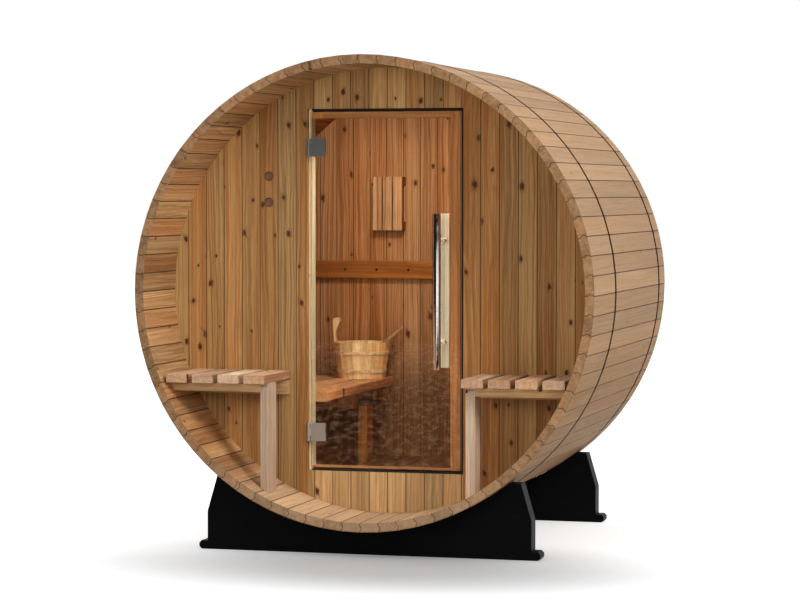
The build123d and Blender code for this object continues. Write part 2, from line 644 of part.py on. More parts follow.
# ---- Backrests: three slats that follow the barrel, on two ribs ----
rib_outer = INNER_R - SEAT_GAP
rib_inner = rib_outer - BACKREST_RIB_DEPTH
slat_back = sqrt((rib_inner - SEAT_GAP) ** 2 - (BACKREST_SLAT_HEIGHT / 2) ** 2)
slat_angle = degrees(2 * asin((BACKREST_SLAT_HEIGHT + BACKREST_SLAT_GAP) / (2 * slat_back)))
first_angle = degrees(asin(BACKREST_LOW / slat_back)) + slat_angle / 2
backrest_y = (cabin_y[0], REAR_WALL - RAIL_THICK - CABIN_END_GAP)
backrest_slats = []
for index in range(BACKREST_SLAT_COUNT):
    slat = block(
        (slat_back - BACKREST_SLAT_THICK, slat_back),
        backrest_y,
        (-BACKREST_SLAT_HEIGHT / 2, BACKREST_SLAT_HEIGHT / 2),
    )
    backrest_slats.append(Rot(0, -first_angle - index * slat_angle, 0) * eased(slat))
rib_span = BACKREST_SLAT_COUNT * slat_angle
rib_ring = Circle(rib_outer) - Circle(rib_inner)
rib_start = first_angle - slat_angle / 2
backrest_ribs = []
for middle in (backrest_y[0] + BACKREST_RIB_FROM_WALL, backrest_y[1] - BACKREST_RIB_FROM_WALL):
    ends = [Vector(2 * INNER_R, 0).rotate(Axis.Z, angle) for angle in (rib_start, rib_start + rib_span)]
    sector = make_face(Polyline((0, 0), (ends[0].X, ends[0].Y), (ends[1].X, ends[1].Y), close=True))
    rib = along_y(rib_ring & sector, middle - BACKREST_RIB_WIDTH / 2, middle + BACKREST_RIB_WIDTH / 2)
    backrest_ribs.append(single(rib))
save("backrest_slats_right", *backrest_slats)
save("backrest_slats_left", *[at_left(slat) for slat in backrest_slats])
save("backrest_ribs_right", *backrest_ribs)
save("backrest_ribs_left", *[at_left(rib) for rib in backrest_ribs])

# ---- Rail across the rear wall, and the slatted light shade above it ----
rail = block(
    (-INNER_R, INNER_R),
    (REAR_WALL - SEAT_GAP - RAIL_THICK, REAR_WALL - SEAT_GAP),
    (RAIL_LOW, RAIL_LOW + RAIL_HEIGHT),
)
save("rear_rail", single(rail & BARREL_BORE))
batten_half = ((SHADE_SLAT_COUNT - 1) * SHADE_SLAT_PITCH + SHADE_SLAT_WIDTH) / 2
batten_back = REAR_WALL - SEAT_GAP
batten_front = batten_back - SHADE_BATTEN_THICK
shade_battens = []
for low in (SHADE_LOW, SHADE_LOW + SHADE_HEIGHT - SHADE_BATTEN_HEIGHT):
    batten_x = (SHADE_MIDDLE - batten_half, SHADE_MIDDLE + batten_half)
    shade_battens.append(block(batten_x, (batten_front, batten_back), (low, low + SHADE_BATTEN_HEIGHT)))
save("shade_battens", *shade_battens)
shade_slats = []
for index in range(SHADE_SLAT_COUNT):
    slat_x = SHADE_MIDDLE - batten_half + index * SHADE_SLAT_PITCH
    slat_front = batten_front - SEAT_GAP - SHADE_SLAT_THICK
    slat = block(
        (slat_x, slat_x + SHADE_SLAT_WIDTH),
        (slat_front, batten_front - SEAT_GAP),
        (SHADE_LOW, SHADE_LOW + SHADE_HEIGHT),
    )
    vee_side = SHADE_SLAT_VEE * sqrt(2)
    vee_place = Pos(slat_x + SHADE_SLAT_WIDTH / 2, slat_front, SHADE_LOW + SHADE_HEIGHT / 2)
    shade_slats.append(slat - vee_place * Rot(0, 0, 45) * Box(vee_side, vee_side, SHADE_HEIGHT))
save("shade_slats", *shade_slats)


# ---- Bucket and ladle on the left bench ----
def bucket_radius(height):
    return BUCKET_BASE_R + (BUCKET_TOP_R - BUCKET_BASE_R) * height / BUCKET_HEIGHT


def cone_of_flats(sides, low_radius, low, high_radius, high):
    """A tapered round of flat sides between two heights, each radius measured to the flats."""
    rings = []
    for radius, height in ((low_radius, low), (high_radius, high)):
        corner = radius / cos(pi / sides)
        turns = [2 * pi * i / sides for i in range(sides)]
        rings.append([(corner * cos(turn), corner * sin(turn), height) for turn in turns])
    outlines = list(rings)
    for i in range(sides):
        after = (i + 1) % sides
        outlines.append([rings[0][i], rings[0][after], rings[1][after], rings[1][i]])
    return Solid(Shell([Face(Wire.make_polygon(outline)) for outline in outlines]))


def bucket_cone(low, high, offset):
    """The bucket's outside between two heights, moved in or out by an offset."""
    return cone_of_flats(
        BUCKET_STAVE_COUNT, bucket_radius(low) + offset, low, bucket_radius(high) + offset, high
    )


bucket_place = Pos(BUCKET_X, BUCKET_Y, CABIN_SEAT_HEIGHT + SEAT_GAP)
inside = BUCKET_FLOOR_LIFT + BUCKET_FLOOR_THICK
bucket = bucket_cone(0, BUCKET_HEIGHT, 0)
bucket -= bucket_cone(inside, BUCKET_HEIGHT, -BUCKET_WALL)
bucket -= bucket_cone(0, BUCKET_FLOOR_LIFT, -BUCKET_WALL)
grip_foot = -BUCKET_TOP_R + BUCKET_WALL
grip_top = BUCKET_HEIGHT + BUCKET_GRIP_RISE
grip_lean = -BUCKET_TOP_R - BUCKET_WALL / 2
grip_edge = Polyline(
    (grip_foot, BUCKET_HEIGHT),
    (grip_foot, BUCKET_HEIGHT - BUCKET_WALL),
    (-BUCKET_TOP_R + BUCKET_WALL / 2, BUCKET_HEIGHT - BUCKET_WALL),
    (-BUCKET_TOP_R, BUCKET_HEIGHT),
    (grip_lean, grip_top - BUCKET_GRIP_HEAD / 2),
)
grip_head = ThreePointArc(
    (grip_lean, grip_top - BUCKET_GRIP_HEAD / 2),
    (grip_lean + BUCKET_GRIP_HEAD / 2, grip_top),
    (grip_lean + BUCKET_GRIP_HEAD, grip_top - BUCKET_GRIP_HEAD / 2),
)
grip_inner = ThreePointArc(
    (grip_lean + BUCKET_GRIP_HEAD, grip_top - BUCKET_GRIP_HEAD / 2),
    (grip_lean + BUCKET_GRIP_NECK, BUCKET_HEIGHT + BUCKET_GRIP_RISE / 3),
    (grip_foot, BUCKET_HEIGHT),
)
grip_outline = make_face(Wire([*grip_edge.edges(), grip_head.edge(), grip_inner.edge()]))
bucket += along_y(grip_outline, -BUCKET_GRIP_WIDTH / 2, BUCKET_GRIP_WIDTH / 2)
save("bucket", bucket_place * single(bucket))
bucket_hoops = []
for height in BUCKET_HOOP_HEIGHTS:
    top = height + BUCKET_HOOP_WIDTH
    hoop = bucket_cone(height, top, SEAT_GAP + BUCKET_HOOP_THICK) - bucket_cone(height, top, SEAT_GAP)
    bucket_hoops.append(bucket_place * single(hoop))
save("bucket_hoops", *bucket_hoops)

bowl = cone_of_flats(LADLE_BOWL_SIDES, LADLE_BOWL_BASE_R, 0, LADLE_BOWL_R, LADLE_BOWL_DEPTH)
bowl -= cone_of_flats(
    LADLE_BOWL_SIDES,
    LADLE_BOWL_BASE_R - LADLE_BOWL_WALL,
    LADLE_BOWL_WALL,
    LADLE_BOWL_R - LADLE_BOWL_WALL,
    LADLE_BOWL_DEPTH,
)
ladle_outline = make_face(
    Polyline(
        (-LADLE_NECK_WIDTH / 2, 0),
        (LADLE_NECK_WIDTH / 2, 0),
        (LADLE_WIDTH / 2, LADLE_LENGTH * 0.8),
        (LADLE_WIDTH / 2, LADLE_LENGTH),
        (-LADLE_WIDTH / 2, LADLE_LENGTH),
        (-LADLE_WIDTH / 2, LADLE_LENGTH * 0.8),
        close=True,
    )
)
ladle_handle = extrude(Plane.YZ * ladle_outline, amount=LADLE_THICK / 2, both=True)
ladle_root = Pos(LADLE_BOWL_R - LADLE_BOWL_WALL, 0, LADLE_BOWL_DEPTH - LADLE_THICK)
ladle = bowl + ladle_root * Rot(0, LADLE_TILT, 0) * ladle_handle
ladle_place = Rot(0, 0, LADLE_TURN) * Pos(-LADLE_OFFSET, 0, inside + SEAT_GAP)
save("ladle", bucket_place * ladle_place * single(ladle))
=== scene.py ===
from math import pi

import bmesh
import bpy
from mathutils import Matrix, Vector


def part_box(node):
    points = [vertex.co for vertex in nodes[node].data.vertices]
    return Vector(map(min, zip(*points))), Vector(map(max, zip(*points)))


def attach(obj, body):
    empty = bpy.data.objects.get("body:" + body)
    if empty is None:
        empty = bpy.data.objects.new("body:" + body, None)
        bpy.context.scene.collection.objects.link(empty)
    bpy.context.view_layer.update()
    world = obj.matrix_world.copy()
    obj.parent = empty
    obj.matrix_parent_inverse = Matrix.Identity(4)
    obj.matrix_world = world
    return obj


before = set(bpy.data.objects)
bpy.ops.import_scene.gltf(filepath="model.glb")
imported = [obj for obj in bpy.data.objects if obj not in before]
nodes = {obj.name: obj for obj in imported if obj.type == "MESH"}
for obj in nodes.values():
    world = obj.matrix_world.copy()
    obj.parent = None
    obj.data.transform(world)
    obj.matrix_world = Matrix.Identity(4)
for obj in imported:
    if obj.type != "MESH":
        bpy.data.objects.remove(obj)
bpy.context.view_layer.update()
scene = bpy.context.scene


# ---- Cradles ----
# Two saddles of solid softwood that carry the barrel, cut to its curve on top and standing on a
# wider foot. They are sawn, sanded and coated with an opaque black stain that shows a little grain.
def add(tree, kind, values=None, **settings):
    """A shader node, with its settings and with its inputs fed by values or by other nodes."""
    new = tree.nodes.new("ShaderNode" + kind)
    for name, value in settings.items():
        setattr(new, name, value)
    for key, value in (values or {}).items():
        if isinstance(value, bpy.types.NodeSocket):
            tree.links.new(value, new.inputs[key])
        else:
            new.inputs[key].default_value = value
    return new


def calc(tree, operation, *terms):
    """What a Math node gives for its terms."""
    return add(tree, "Math", dict(enumerate(terms)), operation=operation).outputs[0]


def times(tree, first, second):
    return calc(tree, "MULTIPLY", first, second)


def vector(tree, x=0.0, y=0.0, z=0.0):
    return add(tree, "CombineXYZ", {0: x, 1: y, 2: z}).outputs[0]


def ease(tree, value, start, end, low=0.0, high=1.0):
    """A smooth step of a value, from low at the start to high at the end."""
    steps = {"Value": value, "From Min": start, "From Max": end, "To Min": low, "To Max": high}
    return add(tree, "MapRange", steps, interpolation_type="SMOOTHSTEP").outputs[0]


def tint(tree, share, first, second, mode="MIX"):
    """A mix of two colours."""
    mixer = add(tree, "Mix", {0: share, 6: first, 7: second}, data_type="RGBA", blend_type=mode)
    return mixer.outputs[2]


def noise(tree, place, scale, detail=2.0, rough=0.5):
    values = {"Vector": place, "Scale": scale, "Detail": detail, "Roughness": rough}
    return add(tree, "TexNoise", values).outputs["Fac"]


def stretch(tree, place, x, y, z):
    """A place scaled by a different amount along each axis."""
    return add(tree, "VectorMath", {0: place, 1: (x, y, z)}, operation="MULTIPLY").outputs[0]


def object_place(tree):
    return add(tree, "TexCoord").outputs["Object"]


def new_material(name):
    material = bpy.data.materials.new(name)
    material.use_nodes = True
    tree = material.node_tree
    return material, tree, tree.nodes["Principled BSDF"]


def relief(tree, shader, height, depth, strength=1.0):
    """Raises a surface by a height from 0 to 1 times a depth in metres."""
    values = {"Height": height, "Distance": depth, "Strength": strength}
    tree.links.new(add(tree, "Bump", values).outputs[0], shader.inputs["Normal"])


def finish(material, *names):
    """Gives a finish to CAD nodes."""
    for name in names:
        for slot in nodes[name].material_slots:
            slot.material = material


STAIN_DEEP = (0.0012, 0.0012, 0.0015, 1)
STAIN_THIN = (0.0038, 0.0038, 0.0042, 1)
STAIN_SCUFFED = (0.007, 0.0065, 0.0065, 1)
black_stain, tree, shader = new_material("black_stained_timber")
place = object_place(tree)
streaks = noise(tree, stretch(tree, place, 3.0, 60.0, 60.0), 1.0, 4.0, 0.6)
pores = noise(tree, stretch(tree, place, 40.0, 900.0, 900.0), 1.0, 2.0)
scuffs = ease(tree, noise(tree, place, 9.0, 5.0, 0.7), 0.62, 0.8)
stain = tint(tree, streaks, STAIN_DEEP, STAIN_THIN)
stain = tint(tree, scuffs, stain, STAIN_SCUFFED)
tree.links.new(stain, shader.inputs["Base Color"])
sheen = calc(tree, "MULTIPLY_ADD", streaks, 0.25, 0.33)
shader.inputs["Specular IOR Level"].default_value = 0.05
tree.links.new(sheen, shader.inputs["Roughness"])
relief(tree, shader, calc(tree, "ADD", streaks, times(tree, pores, 0.4)), 0.0006)
finish(black_stain, "cradle_front", "cradle_rear")


# ---- Staves ----
# 76 cedar boards with a bead on one edge and a cove on the other, planed and left bare. Each is
# cut from a different log, so tone and grain change from stave to stave, and the front and rear
# rims show the end grain.
STAVE_COUNT = 76
STAVE_INNER_R = 0.880
hoop_low, hoop_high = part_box("hoop_front")
AXIS_Z = (hoop_low[2] + hoop_high[2]) / 2
CABIN_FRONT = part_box("front_wall_left")[1][1]
CABIN_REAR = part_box("rear_wall")[0][1]


def length(tree, of):
    return add(tree, "VectorMath", {0: of}, operation="LENGTH").outputs["Value"]


def lottery(tree, number):
    """Three random values, each from 0 to 1, that belong to a number."""
    drawn = add(tree, "TexWhiteNoise", {"W": number}, noise_dimensions="1D").outputs["Color"]
    return add(tree, "SeparateColor", {0: drawn}).outputs


KNOTS_ACROSS = 10.0
KNOTS_ALONG = 4.2
NO_KNOT = 0.00005
KNOT_CORE = (0.010, 0.004, 0.003, 1)
KNOT_EDGE = (0.018, 0.007, 0.003, 1)
KNOT_RINGS = ((0.25, (0.060, 0.019, 0.007, 1)), (0.6, (0.12, 0.043, 0.016, 1)))
board_grain = bpy.data.node_groups.new("board_grain", "ShaderNodeTree")
GRAIN_INPUTS = (
    ("Across", "NodeSocketFloat", 0.0),
    ("Through", "NodeSocketFloat", 0.0),
    ("Along", "NodeSocketFloat", 0.0),
    ("Board", "NodeSocketFloat", 0.0),
    ("Pale", "NodeSocketColor", (0.5, 0.3, 0.15, 1)),
    ("Warm", "NodeSocketColor", (0.4, 0.2, 0.1, 1)),
    ("Deep", "NodeSocketColor", (0.2, 0.1, 0.05, 1)),
    ("Streaks", "NodeSocketFloat", 0.5),
    ("Knots", "NodeSocketFloat", 0.5),
    ("Knot size", "NodeSocketFloat", 0.010),
)
for name, kind, value in GRAIN_INPUTS:
    socket = board_grain.interface.new_socket(name, in_out="INPUT", socket_type=kind)
    socket.default_value = value
for name, kind in (
    ("Colour", "NodeSocketColor"),
    ("Height", "NodeSocketFloat"),
    ("Gloss", "NodeSocketFloat"),
):
    board_grain.interface.new_socket(name, in_out="OUTPUT", socket_type=kind)


def fill_board_grain(tree):
    """Growth rings round a pith beside the board, bent round knots, with streaks and fibres."""
    given = tree.nodes.new("NodeGroupInput").outputs
    across, through, along, board = (given[k] for k in ("Across", "Through", "Along", "Board"))
    one = lottery(tree, board)
    two = lottery(tree, calc(tree, "ADD", board, 71.3))

    # knots: one place now and then in the plane of the board's face
    knot_x = calc(tree, "MULTIPLY_ADD", across, KNOTS_ACROSS, times(tree, one[0], 37.0))
    knot_y = calc(tree, "MULTIPLY_ADD", along, KNOTS_ALONG, times(tree, one[1], 91.0))
    knot_plane = vector(tree, knot_x, knot_y)
    places = {"Vector": knot_plane, "Scale": 1.0}
    cells = add(tree, "TexVoronoi", places, voronoi_dimensions="2D").outputs
    from_knot = {0: knot_plane, 1: cells["Position"]}
    away = add(tree, "VectorMath", from_knot, operation="SUBTRACT").outputs[0]
    away = stretch(tree, away, 1 / KNOTS_ACROSS, 1 / KNOTS_ALONG, 0.0)
    ragged = noise(tree, stretch(tree, knot_plane, 15.0, 30.0, 1.0), 1.0, 2.0)
    distance = length(tree, stretch(tree, away, 1.0, 0.72, 0.0))
    distance = times(tree, distance, calc(tree, "MULTIPLY_ADD", ragged, 1.2, 0.42))
    luck = add(tree, "SeparateColor", {0: cells["Color"]}).outputs
    present = calc(tree, "LESS_THAN", luck[0], given["Knots"])
    size = calc(tree, "MULTIPLY_ADD", luck[1], 0.60, 0.25)
    size = times(tree, size, given["Knot size"])
    size = calc(tree, "MAXIMUM", times(tree, size, present), NO_KNOT)
    ratio = calc(tree, "DIVIDE", distance, size)
    halo = ease(tree, ratio, 3.2, 0.8)
    sides = add(tree, "SeparateXYZ", {0: away}).outputs
    slant = times(tree, calc(tree, "SUBTRACT", luck[2], 0.5), 1.6)
    spike = calc(tree, "MULTIPLY_ADD", sides[1], slant, sides[0])
    tail = ease(tree, calc(tree, "DIVIDE", calc(tree, "ABSOLUTE", spike), size), 1.0, 0.1)
    reach = times(tree, size, calc(tree, "MULTIPLY_ADD", luck[2], 3.2, 2.2))
    reached = calc(tree, "DIVIDE", calc(tree, "ABSOLUTE", sides[1]), reach)
    tail = times(tree, times(tree, tail, ease(tree, reached, 1.0, 0.0)), present)

    # rings: distance from a pith that wanders along the log, pushed outwards by each knot
    pushed = times(tree, times(tree, sides[0], halo), -0.75)
    log_x = calc(tree, "ADD", across, pushed)
    log_x = calc(tree, "MULTIPLY_ADD", calc(tree, "SUBTRACT", one[2], 0.5), 0.26, log_x)
    log_y = calc(tree, "ADD", through, calc(tree, "MULTIPLY_ADD", two[0], 0.09, 0.012))
    seed = times(tree, board, 3.7)
    wander_place = vector(
        tree,
        times(tree, across, 6.0),
        calc(tree, "MULTIPLY_ADD", through, 6.0, seed),
        times(tree, along, 1.6),
    )
    wander = add(tree, "TexNoise", {"Vector": wander_place, "Scale": 1.0, "Detail": 3.0})
    drift = add(tree, "SeparateColor", {0: wander.outputs["Color"]}).outputs
    log_x = calc(tree, "MULTIPLY_ADD", calc(tree, "SUBTRACT", drift[0], 0.5), 0.05, log_x)
    log_y = calc(tree, "MULTIPLY_ADD", calc(tree, "SUBTRACT", drift[1], 0.5), 0.05, log_y)
    radius = length(tree, vector(tree, log_x, log_y))
    ring_place = calc(tree, "ADD", times(tree, radius, 105.0), seed)
    ring_noise = {"W": ring_place, "Scale": 1.0, "Detail": 3.0, "Roughness": 0.62}
    rings = add(tree, "TexNoise", ring_noise, noise_dimensions="1D").outputs["Fac"]
    rings = ease(tree, rings, 0.36, 0.68)
    lines = calc(tree, "PINGPONG", times(tree, radius, 260.0), 1.0)
    lines = calc(tree, "POWER", lines, 3.0)
    fibre_place = vector(
        tree,
        times(tree, log_x, 520.0),
        times(tree, log_y, 520.0),
        calc(tree, "MULTIPLY_ADD", along, 16.0, seed),
    )
    fibres = noise(tree, fibre_place, 1.0, 3.0, 0.6)
    broad_place = vector(
        tree,
        calc(tree, "MULTIPLY_ADD", across, 16.0, seed),
        times(tree, through, 16.0),
        times(tree, along, 0.9),
    )
    broad = ease(tree, noise(tree, broad_place, 1.0, 2.0), 0.35, 0.68)

    # colour: the board's own tone, then broad bands, rings, fibres and knots
    band_place = vector(
        tree,
        calc(tree, "MULTIPLY_ADD", log_x, 130.0, seed),
        times(tree, log_y, 60.0),
        times(tree, along, 0.8),
    )
    bands = ease(tree, noise(tree, band_place, 1.0, 2.0), 0.36, 0.64)
    tone = calc(tree, "MULTIPLY_ADD", broad, 0.30, times(tree, one[0], 0.60))
    tone = calc(tree, "MULTIPLY_ADD", bands, 0.32, tone)
    colour = tint(tree, tone, given["Pale"], given["Warm"])
    dark = calc(tree, "MULTIPLY_ADD", lines, 0.25, times(tree, rings, 0.5))
    colour = tint(tree, times(tree, dark, given["Streaks"]), colour, given["Deep"])
    level = calc(tree, "MULTIPLY_ADD", calc(tree, "SUBTRACT", two[1], 0.5), 0.46, 1.0)
    level = calc(tree, "MULTIPLY_ADD", calc(tree, "SUBTRACT", fibres, 0.5), 0.55, level)
    level = calc(tree, "MULTIPLY_ADD", calc(tree, "SUBTRACT", bands, 0.5), -0.22, level)
    grey = add(tree, "CombineColor", {0: level, 1: level, 2: level}).outputs[0]
    colour = tint(tree, 1.0, colour, grey, "MULTIPLY")
    colour = tint(tree, times(tree, halo, 0.22), colour, given["Deep"])
    colour = tint(tree, times(tree, tail, 0.75), colour, given["Deep"])
    heart = add(tree, "ValToRGB", {0: calc(tree, "DIVIDE", ratio, 1.3)})
    ramp = heart.color_ramp.elements
    ramp[0].color = KNOT_CORE
    ramp[1].color = KNOT_EDGE
    for spot, shade in KNOT_RINGS:
        ramp.new(spot).color = shade
    colour = tint(tree, ease(tree, ratio, 1.35, 0.95), colour, heart.outputs[0])

    height = calc(tree, "MULTIPLY_ADD", fibres, 0.6, times(tree, lines, 0.3))
    height = calc(tree, "MULTIPLY_ADD", ease(tree, ratio, 1.4, 0.9), 0.5, height)
    gloss = calc(tree, "MULTIPLY_ADD", fibres, 0.25, times(tree, rings, 0.1))
    out = tree.nodes.new("NodeGroupOutput")
    for name, value in (("Colour", colour), ("Height", height), ("Gloss", gloss)):
        tree.links.new(value, out.inputs[name])


fill_board_grain(board_grain)


def grain(tree, across, through, along, board, colours, streaks=0.6, knots=0.5, knot_size=0.010):
    """The board grain laid along a board, with its pale, warm and deep colours."""
    group = tree.nodes.new("ShaderNodeGroup")
    group.node_tree = board_grain
    values = (across, through, along, board, *colours, streaks, knots, knot_size)
    for socket, value in zip(group.inputs, values):
        if isinstance(value, bpy.types.NodeSocket):
            tree.links.new(value, socket)
        else:
            socket.default_value = value
    return group.outputs


def wood(tree, shader, grain_outputs, colour, dull=0.5, depth=0.0004):
    """Feeds a wood shader from a grain, with a colour that may already have been changed."""
    tree.links.new(colour, shader.inputs["Base Color"])
    tree.links.new(
        calc(tree, "ADD", grain_outputs["Gloss"], dull - 0.15), shader.inputs["Roughness"]
    )
    shader.inputs["Specular IOR Level"].default_value = 0.2
    relief(tree, shader, grain_outputs["Height"], depth)


bare_staves, tree, shader = new_material("bare_cedar_staves")
place = add(tree, "TexCoord")
x, y, z = add(tree, "SeparateXYZ", {0: place.outputs["Object"]}).outputs
facing = add(tree, "SeparateXYZ", {0: place.outputs["Normal"]}).outputs
z = calc(tree, "SUBTRACT", z, AXIS_Z)
turn = times(tree, calc(tree, "ARCTAN2", x, z), STAVE_COUNT / (2 * pi))
stave = calc(tree, "FLOOR", turn)
radius = length(tree, vector(tree, x, z))
sideways = calc(tree, "SUBTRACT", calc(tree, "SUBTRACT", turn, stave), 0.5)
across = times(tree, times(tree, sideways, radius), 2 * pi / STAVE_COUNT)
through = calc(tree, "SUBTRACT", radius, STAVE_INNER_R)
outside = ease(tree, through, 0.030, 0.034)
inside = calc(tree, "SUBTRACT", 1.0, outside)
cabin = ease(tree, y, CABIN_FRONT + 0.002, CABIN_FRONT + 0.004)
cabin = times(tree, cabin, ease(tree, y, CABIN_REAR, CABIN_REAR - 0.002))

# each stave's colour: weathered outside, golden in the porch, redder in the cabin
OUTSIDE_COLOURS = (0.385, 0.236, 0.122, 1), (0.325, 0.176, 0.080, 1), (0.18, 0.080, 0.030, 1)
PORCH_COLOURS = (0.53, 0.325, 0.142, 1), (0.385, 0.168, 0.060, 1), (0.16, 0.052, 0.014, 1)
CABIN_COLOURS = (0.36, 0.105, 0.020, 1), (0.27, 0.068, 0.012, 1), (0.13, 0.032, 0.007, 1)
BLEACHED = (0.355, 0.214, 0.110, 1)
LOWER_OUTSIDE_SHADE = (0.96, 0.90, 0.78, 1)
PAINTED_LIGHT_PALE = (0.74, 0.52, 0.34, 1)
colours = [
    tint(tree, outside, tint(tree, cabin, porch, hot), weathered)
    for weathered, porch, hot in zip(OUTSIDE_COLOURS, PORCH_COLOURS, CABIN_COLOURS)
]
streak_share = calc(tree, "MULTIPLY_ADD", outside, -0.45, 0.60)
made = grain(tree, across, through, y, stave, colours, streak_share, 0.45, 0.007)
board_colour = tint(tree, times(tree, outside, 0.45), made["Colour"], BLEACHED)
# painted shade: the outside turns darker and less blue low down
lower_outside_shade = times(tree, ease(tree, z, 0.25, -0.45), outside)
board_colour = tint(tree, lower_outside_shade, board_colour, LOWER_OUTSIDE_SHADE, "MULTIPLY")
# painted light: the inside of the porch turns paler towards the bottom, as if lit from above
painted_porch_light = times(tree, ease(tree, z, -0.62, -0.84), inside)
painted_porch_light = times(tree, painted_porch_light, times(tree, calc(tree, "SUBTRACT", 1.0, cabin), 0.35))
board_colour = tint(tree, painted_porch_light, board_colour, PAINTED_LIGHT_PALE)

# end grain on the rims, darker or paler from one stave to the next
END_DARK = (0.062, 0.024, 0.010, 1)
END_PALE = (0.275, 0.168, 0.090, 1)
end = ease(tree, calc(tree, "ABSOLUTE", facing[1]), 0.7, 0.9)
blotches = ease(tree, noise(tree, place.outputs["Object"], 38.0, 3.0, 0.5), 0.35, 0.65)
sawn = add(tree, "TexWhiteNoise", {"W": stave}, noise_dimensions="1D").outputs["Value"]
sawn = calc(tree, "MULTIPLY_ADD", sawn, 0.65, times(tree, blotches, 0.45))
end_colour = tint(tree, 0.30, tint(tree, sawn, END_DARK, END_PALE), board_colour)
colour = tint(tree, times(tree, end, 0.90), board_colour, end_colour)

# the joint on the rims: round the bead, then straight to the inside and the outside
BEAD_MIDDLE_R = 0.9015
BEAD_R = 0.012
BEAD_SETBACK = 0.005
LINE_EDGE = 0.0022
LINE_CORE = 0.0006
JOINT_BROWN = (0.035, 0.015, 0.007, 1)
from_seam = calc(tree, "SUBTRACT", turn, calc(tree, "ROUND", turn))
from_seam = times(tree, from_seam, 2 * pi * BEAD_MIDDLE_R / STAVE_COUNT)
bead_x = calc(tree, "SUBTRACT", from_seam, BEAD_SETBACK)
bead_y = calc(tree, "SUBTRACT", radius, BEAD_MIDDLE_R)
bead = length(tree, vector(tree, bead_x, bead_y))
bead_line = calc(tree, "ABSOLUTE", calc(tree, "SUBTRACT", bead, BEAD_R))
bead_line = ease(tree, bead_line, LINE_EDGE, LINE_CORE)
bead_line = times(tree, bead_line, calc(tree, "LESS_THAN", from_seam, 0.0))
straight = ease(tree, calc(tree, "ABSOLUTE", from_seam), LINE_EDGE, LINE_CORE)
straight = times(tree, straight, calc(tree, "GREATER_THAN", bead, BEAD_R))
joint_line = times(tree, calc(tree, "MAXIMUM", bead_line, straight), end)
colour = tint(tree, times(tree, joint_line, 0.95), colour, JOINT_BROWN)

# the seams along the faces, with a painted shadow in them beside the hoops
SEAM_BROWN = (0.045, 0.020, 0.009, 1)
FACE_R = 0.9
edge = calc(tree, "SUBTRACT", 0.5, calc(tree, "ABSOLUTE", sideways))
edge = times(tree, edge, 2 * pi * FACE_R / STAVE_COUNT)
gap = calc(tree, "MULTIPLY_ADD", outside, -0.0008, 0.0036)
seam = times(tree, ease(tree, edge, gap, 0.0012), calc(tree, "SUBTRACT", 1.0, end))
for hoop in ("hoop_front", "hoop_rear"):
    low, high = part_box(hoop)
    from_hoop = calc(tree, "ABSOLUTE", calc(tree, "SUBTRACT", y, (low[1] + high[1]) / 2))
    # painted shadow: the seams widen and darken beside each hoop
    hoop_seam_shadow = times(tree, ease(tree, from_hoop, 0.020, 0.014), outside)
    stain = times(tree, hoop_seam_shadow, ease(tree, edge, 0.0065, 0.0035))
    seam = calc(tree, "MAXIMUM", seam, stain)
depth = calc(tree, "MULTIPLY_ADD", outside, -0.12, 0.90)
colour = tint(tree, times(tree, seam, depth), colour, SEAM_BROWN)

# short dark flecks across the grain, gathered on some staves
FLECK_BROWN = (0.12, 0.055, 0.022, 1)
fleck_way = times(tree, y, 230.0), times(tree, across, 55.0), times(tree, stave, 5.3)
fleck_place = vector(tree, *fleck_way)
flecks = ease(tree, noise(tree, fleck_place, 1.0, 1.0), 0.69, 0.75)
gathered = vector(tree, times(tree, y, 6.0), times(tree, stave, 2.7))
flecks = times(tree, flecks, ease(tree, noise(tree, gathered, 1.0, 1.0), 0.45, 0.6))
colour = tint(tree, times(tree, flecks, 0.6), colour, FLECK_BROWN)
wood(tree, shader, made, colour, 0.62)
STAVE_NODES = ("staves_upper_right", "staves_lower_right", "staves_lower_left", "staves_upper_left")
finish(bare_staves, *STAVE_NODES)


# ---- Hoops ----
# Two thin bands of rolled stainless steel drawn tight round the staves by a bolt through a pair
# of lugs. Handling and weather leave them dull and a little streaked.
HOOP_DARK = (0.045, 0.041, 0.037, 1)
HOOP_PALE = (0.11, 0.10, 0.09, 1)
hoop_steel, tree, shader = new_material("hoop_steel")
place = object_place(tree)
x, y, z = add(tree, "SeparateXYZ", {0: place}).outputs
turned = calc(tree, "ARCTAN2", x, calc(tree, "SUBTRACT", z, AXIS_Z))
rolled = noise(tree, vector(tree, times(tree, turned, 12.0), times(tree, y, 900.0)), 1.0, 3.0)
cloudy = noise(tree, place, 14.0, 4.0, 0.6)
tree.links.new(tint(tree, cloudy, HOOP_DARK, HOOP_PALE), shader.inputs["Base Color"])
tree.links.new(calc(tree, "MULTIPLY_ADD", rolled, 0.3, 0.25), shader.inputs["Roughness"])
shader.inputs["Metallic"].default_value = 1.0
shader.inputs["Specular Tint"].default_value = (0.22, 0.20, 0.18, 1)
relief(tree, shader, rolled, 0.0001)
finish(hoop_steel, "hoop_front", "hoop_rear")


# ---- Front wall ----
# Upright tongue and groove boards of knotty cedar between the staves, with a small V at each
# joint. Clear satin oil brings out the golden tone; each board has its own grain and knots. The
# boards right of the door take darker colours, a painted shade.
vent_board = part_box("front_wall_vent_board")
BOARD_PITCH = vent_board[1][0] - vent_board[0][0]
BOARD_SHIFT = vent_board[1][0] + 6 * BOARD_PITCH
FRONT_WALL_Y = vent_board[0][1]
FRONT_WALL_LOG = 119.9
WALL_COLOURS = (0.475, 0.295, 0.115, 1), (0.35, 0.142, 0.037, 1), (0.11, 0.040, 0.010, 1)
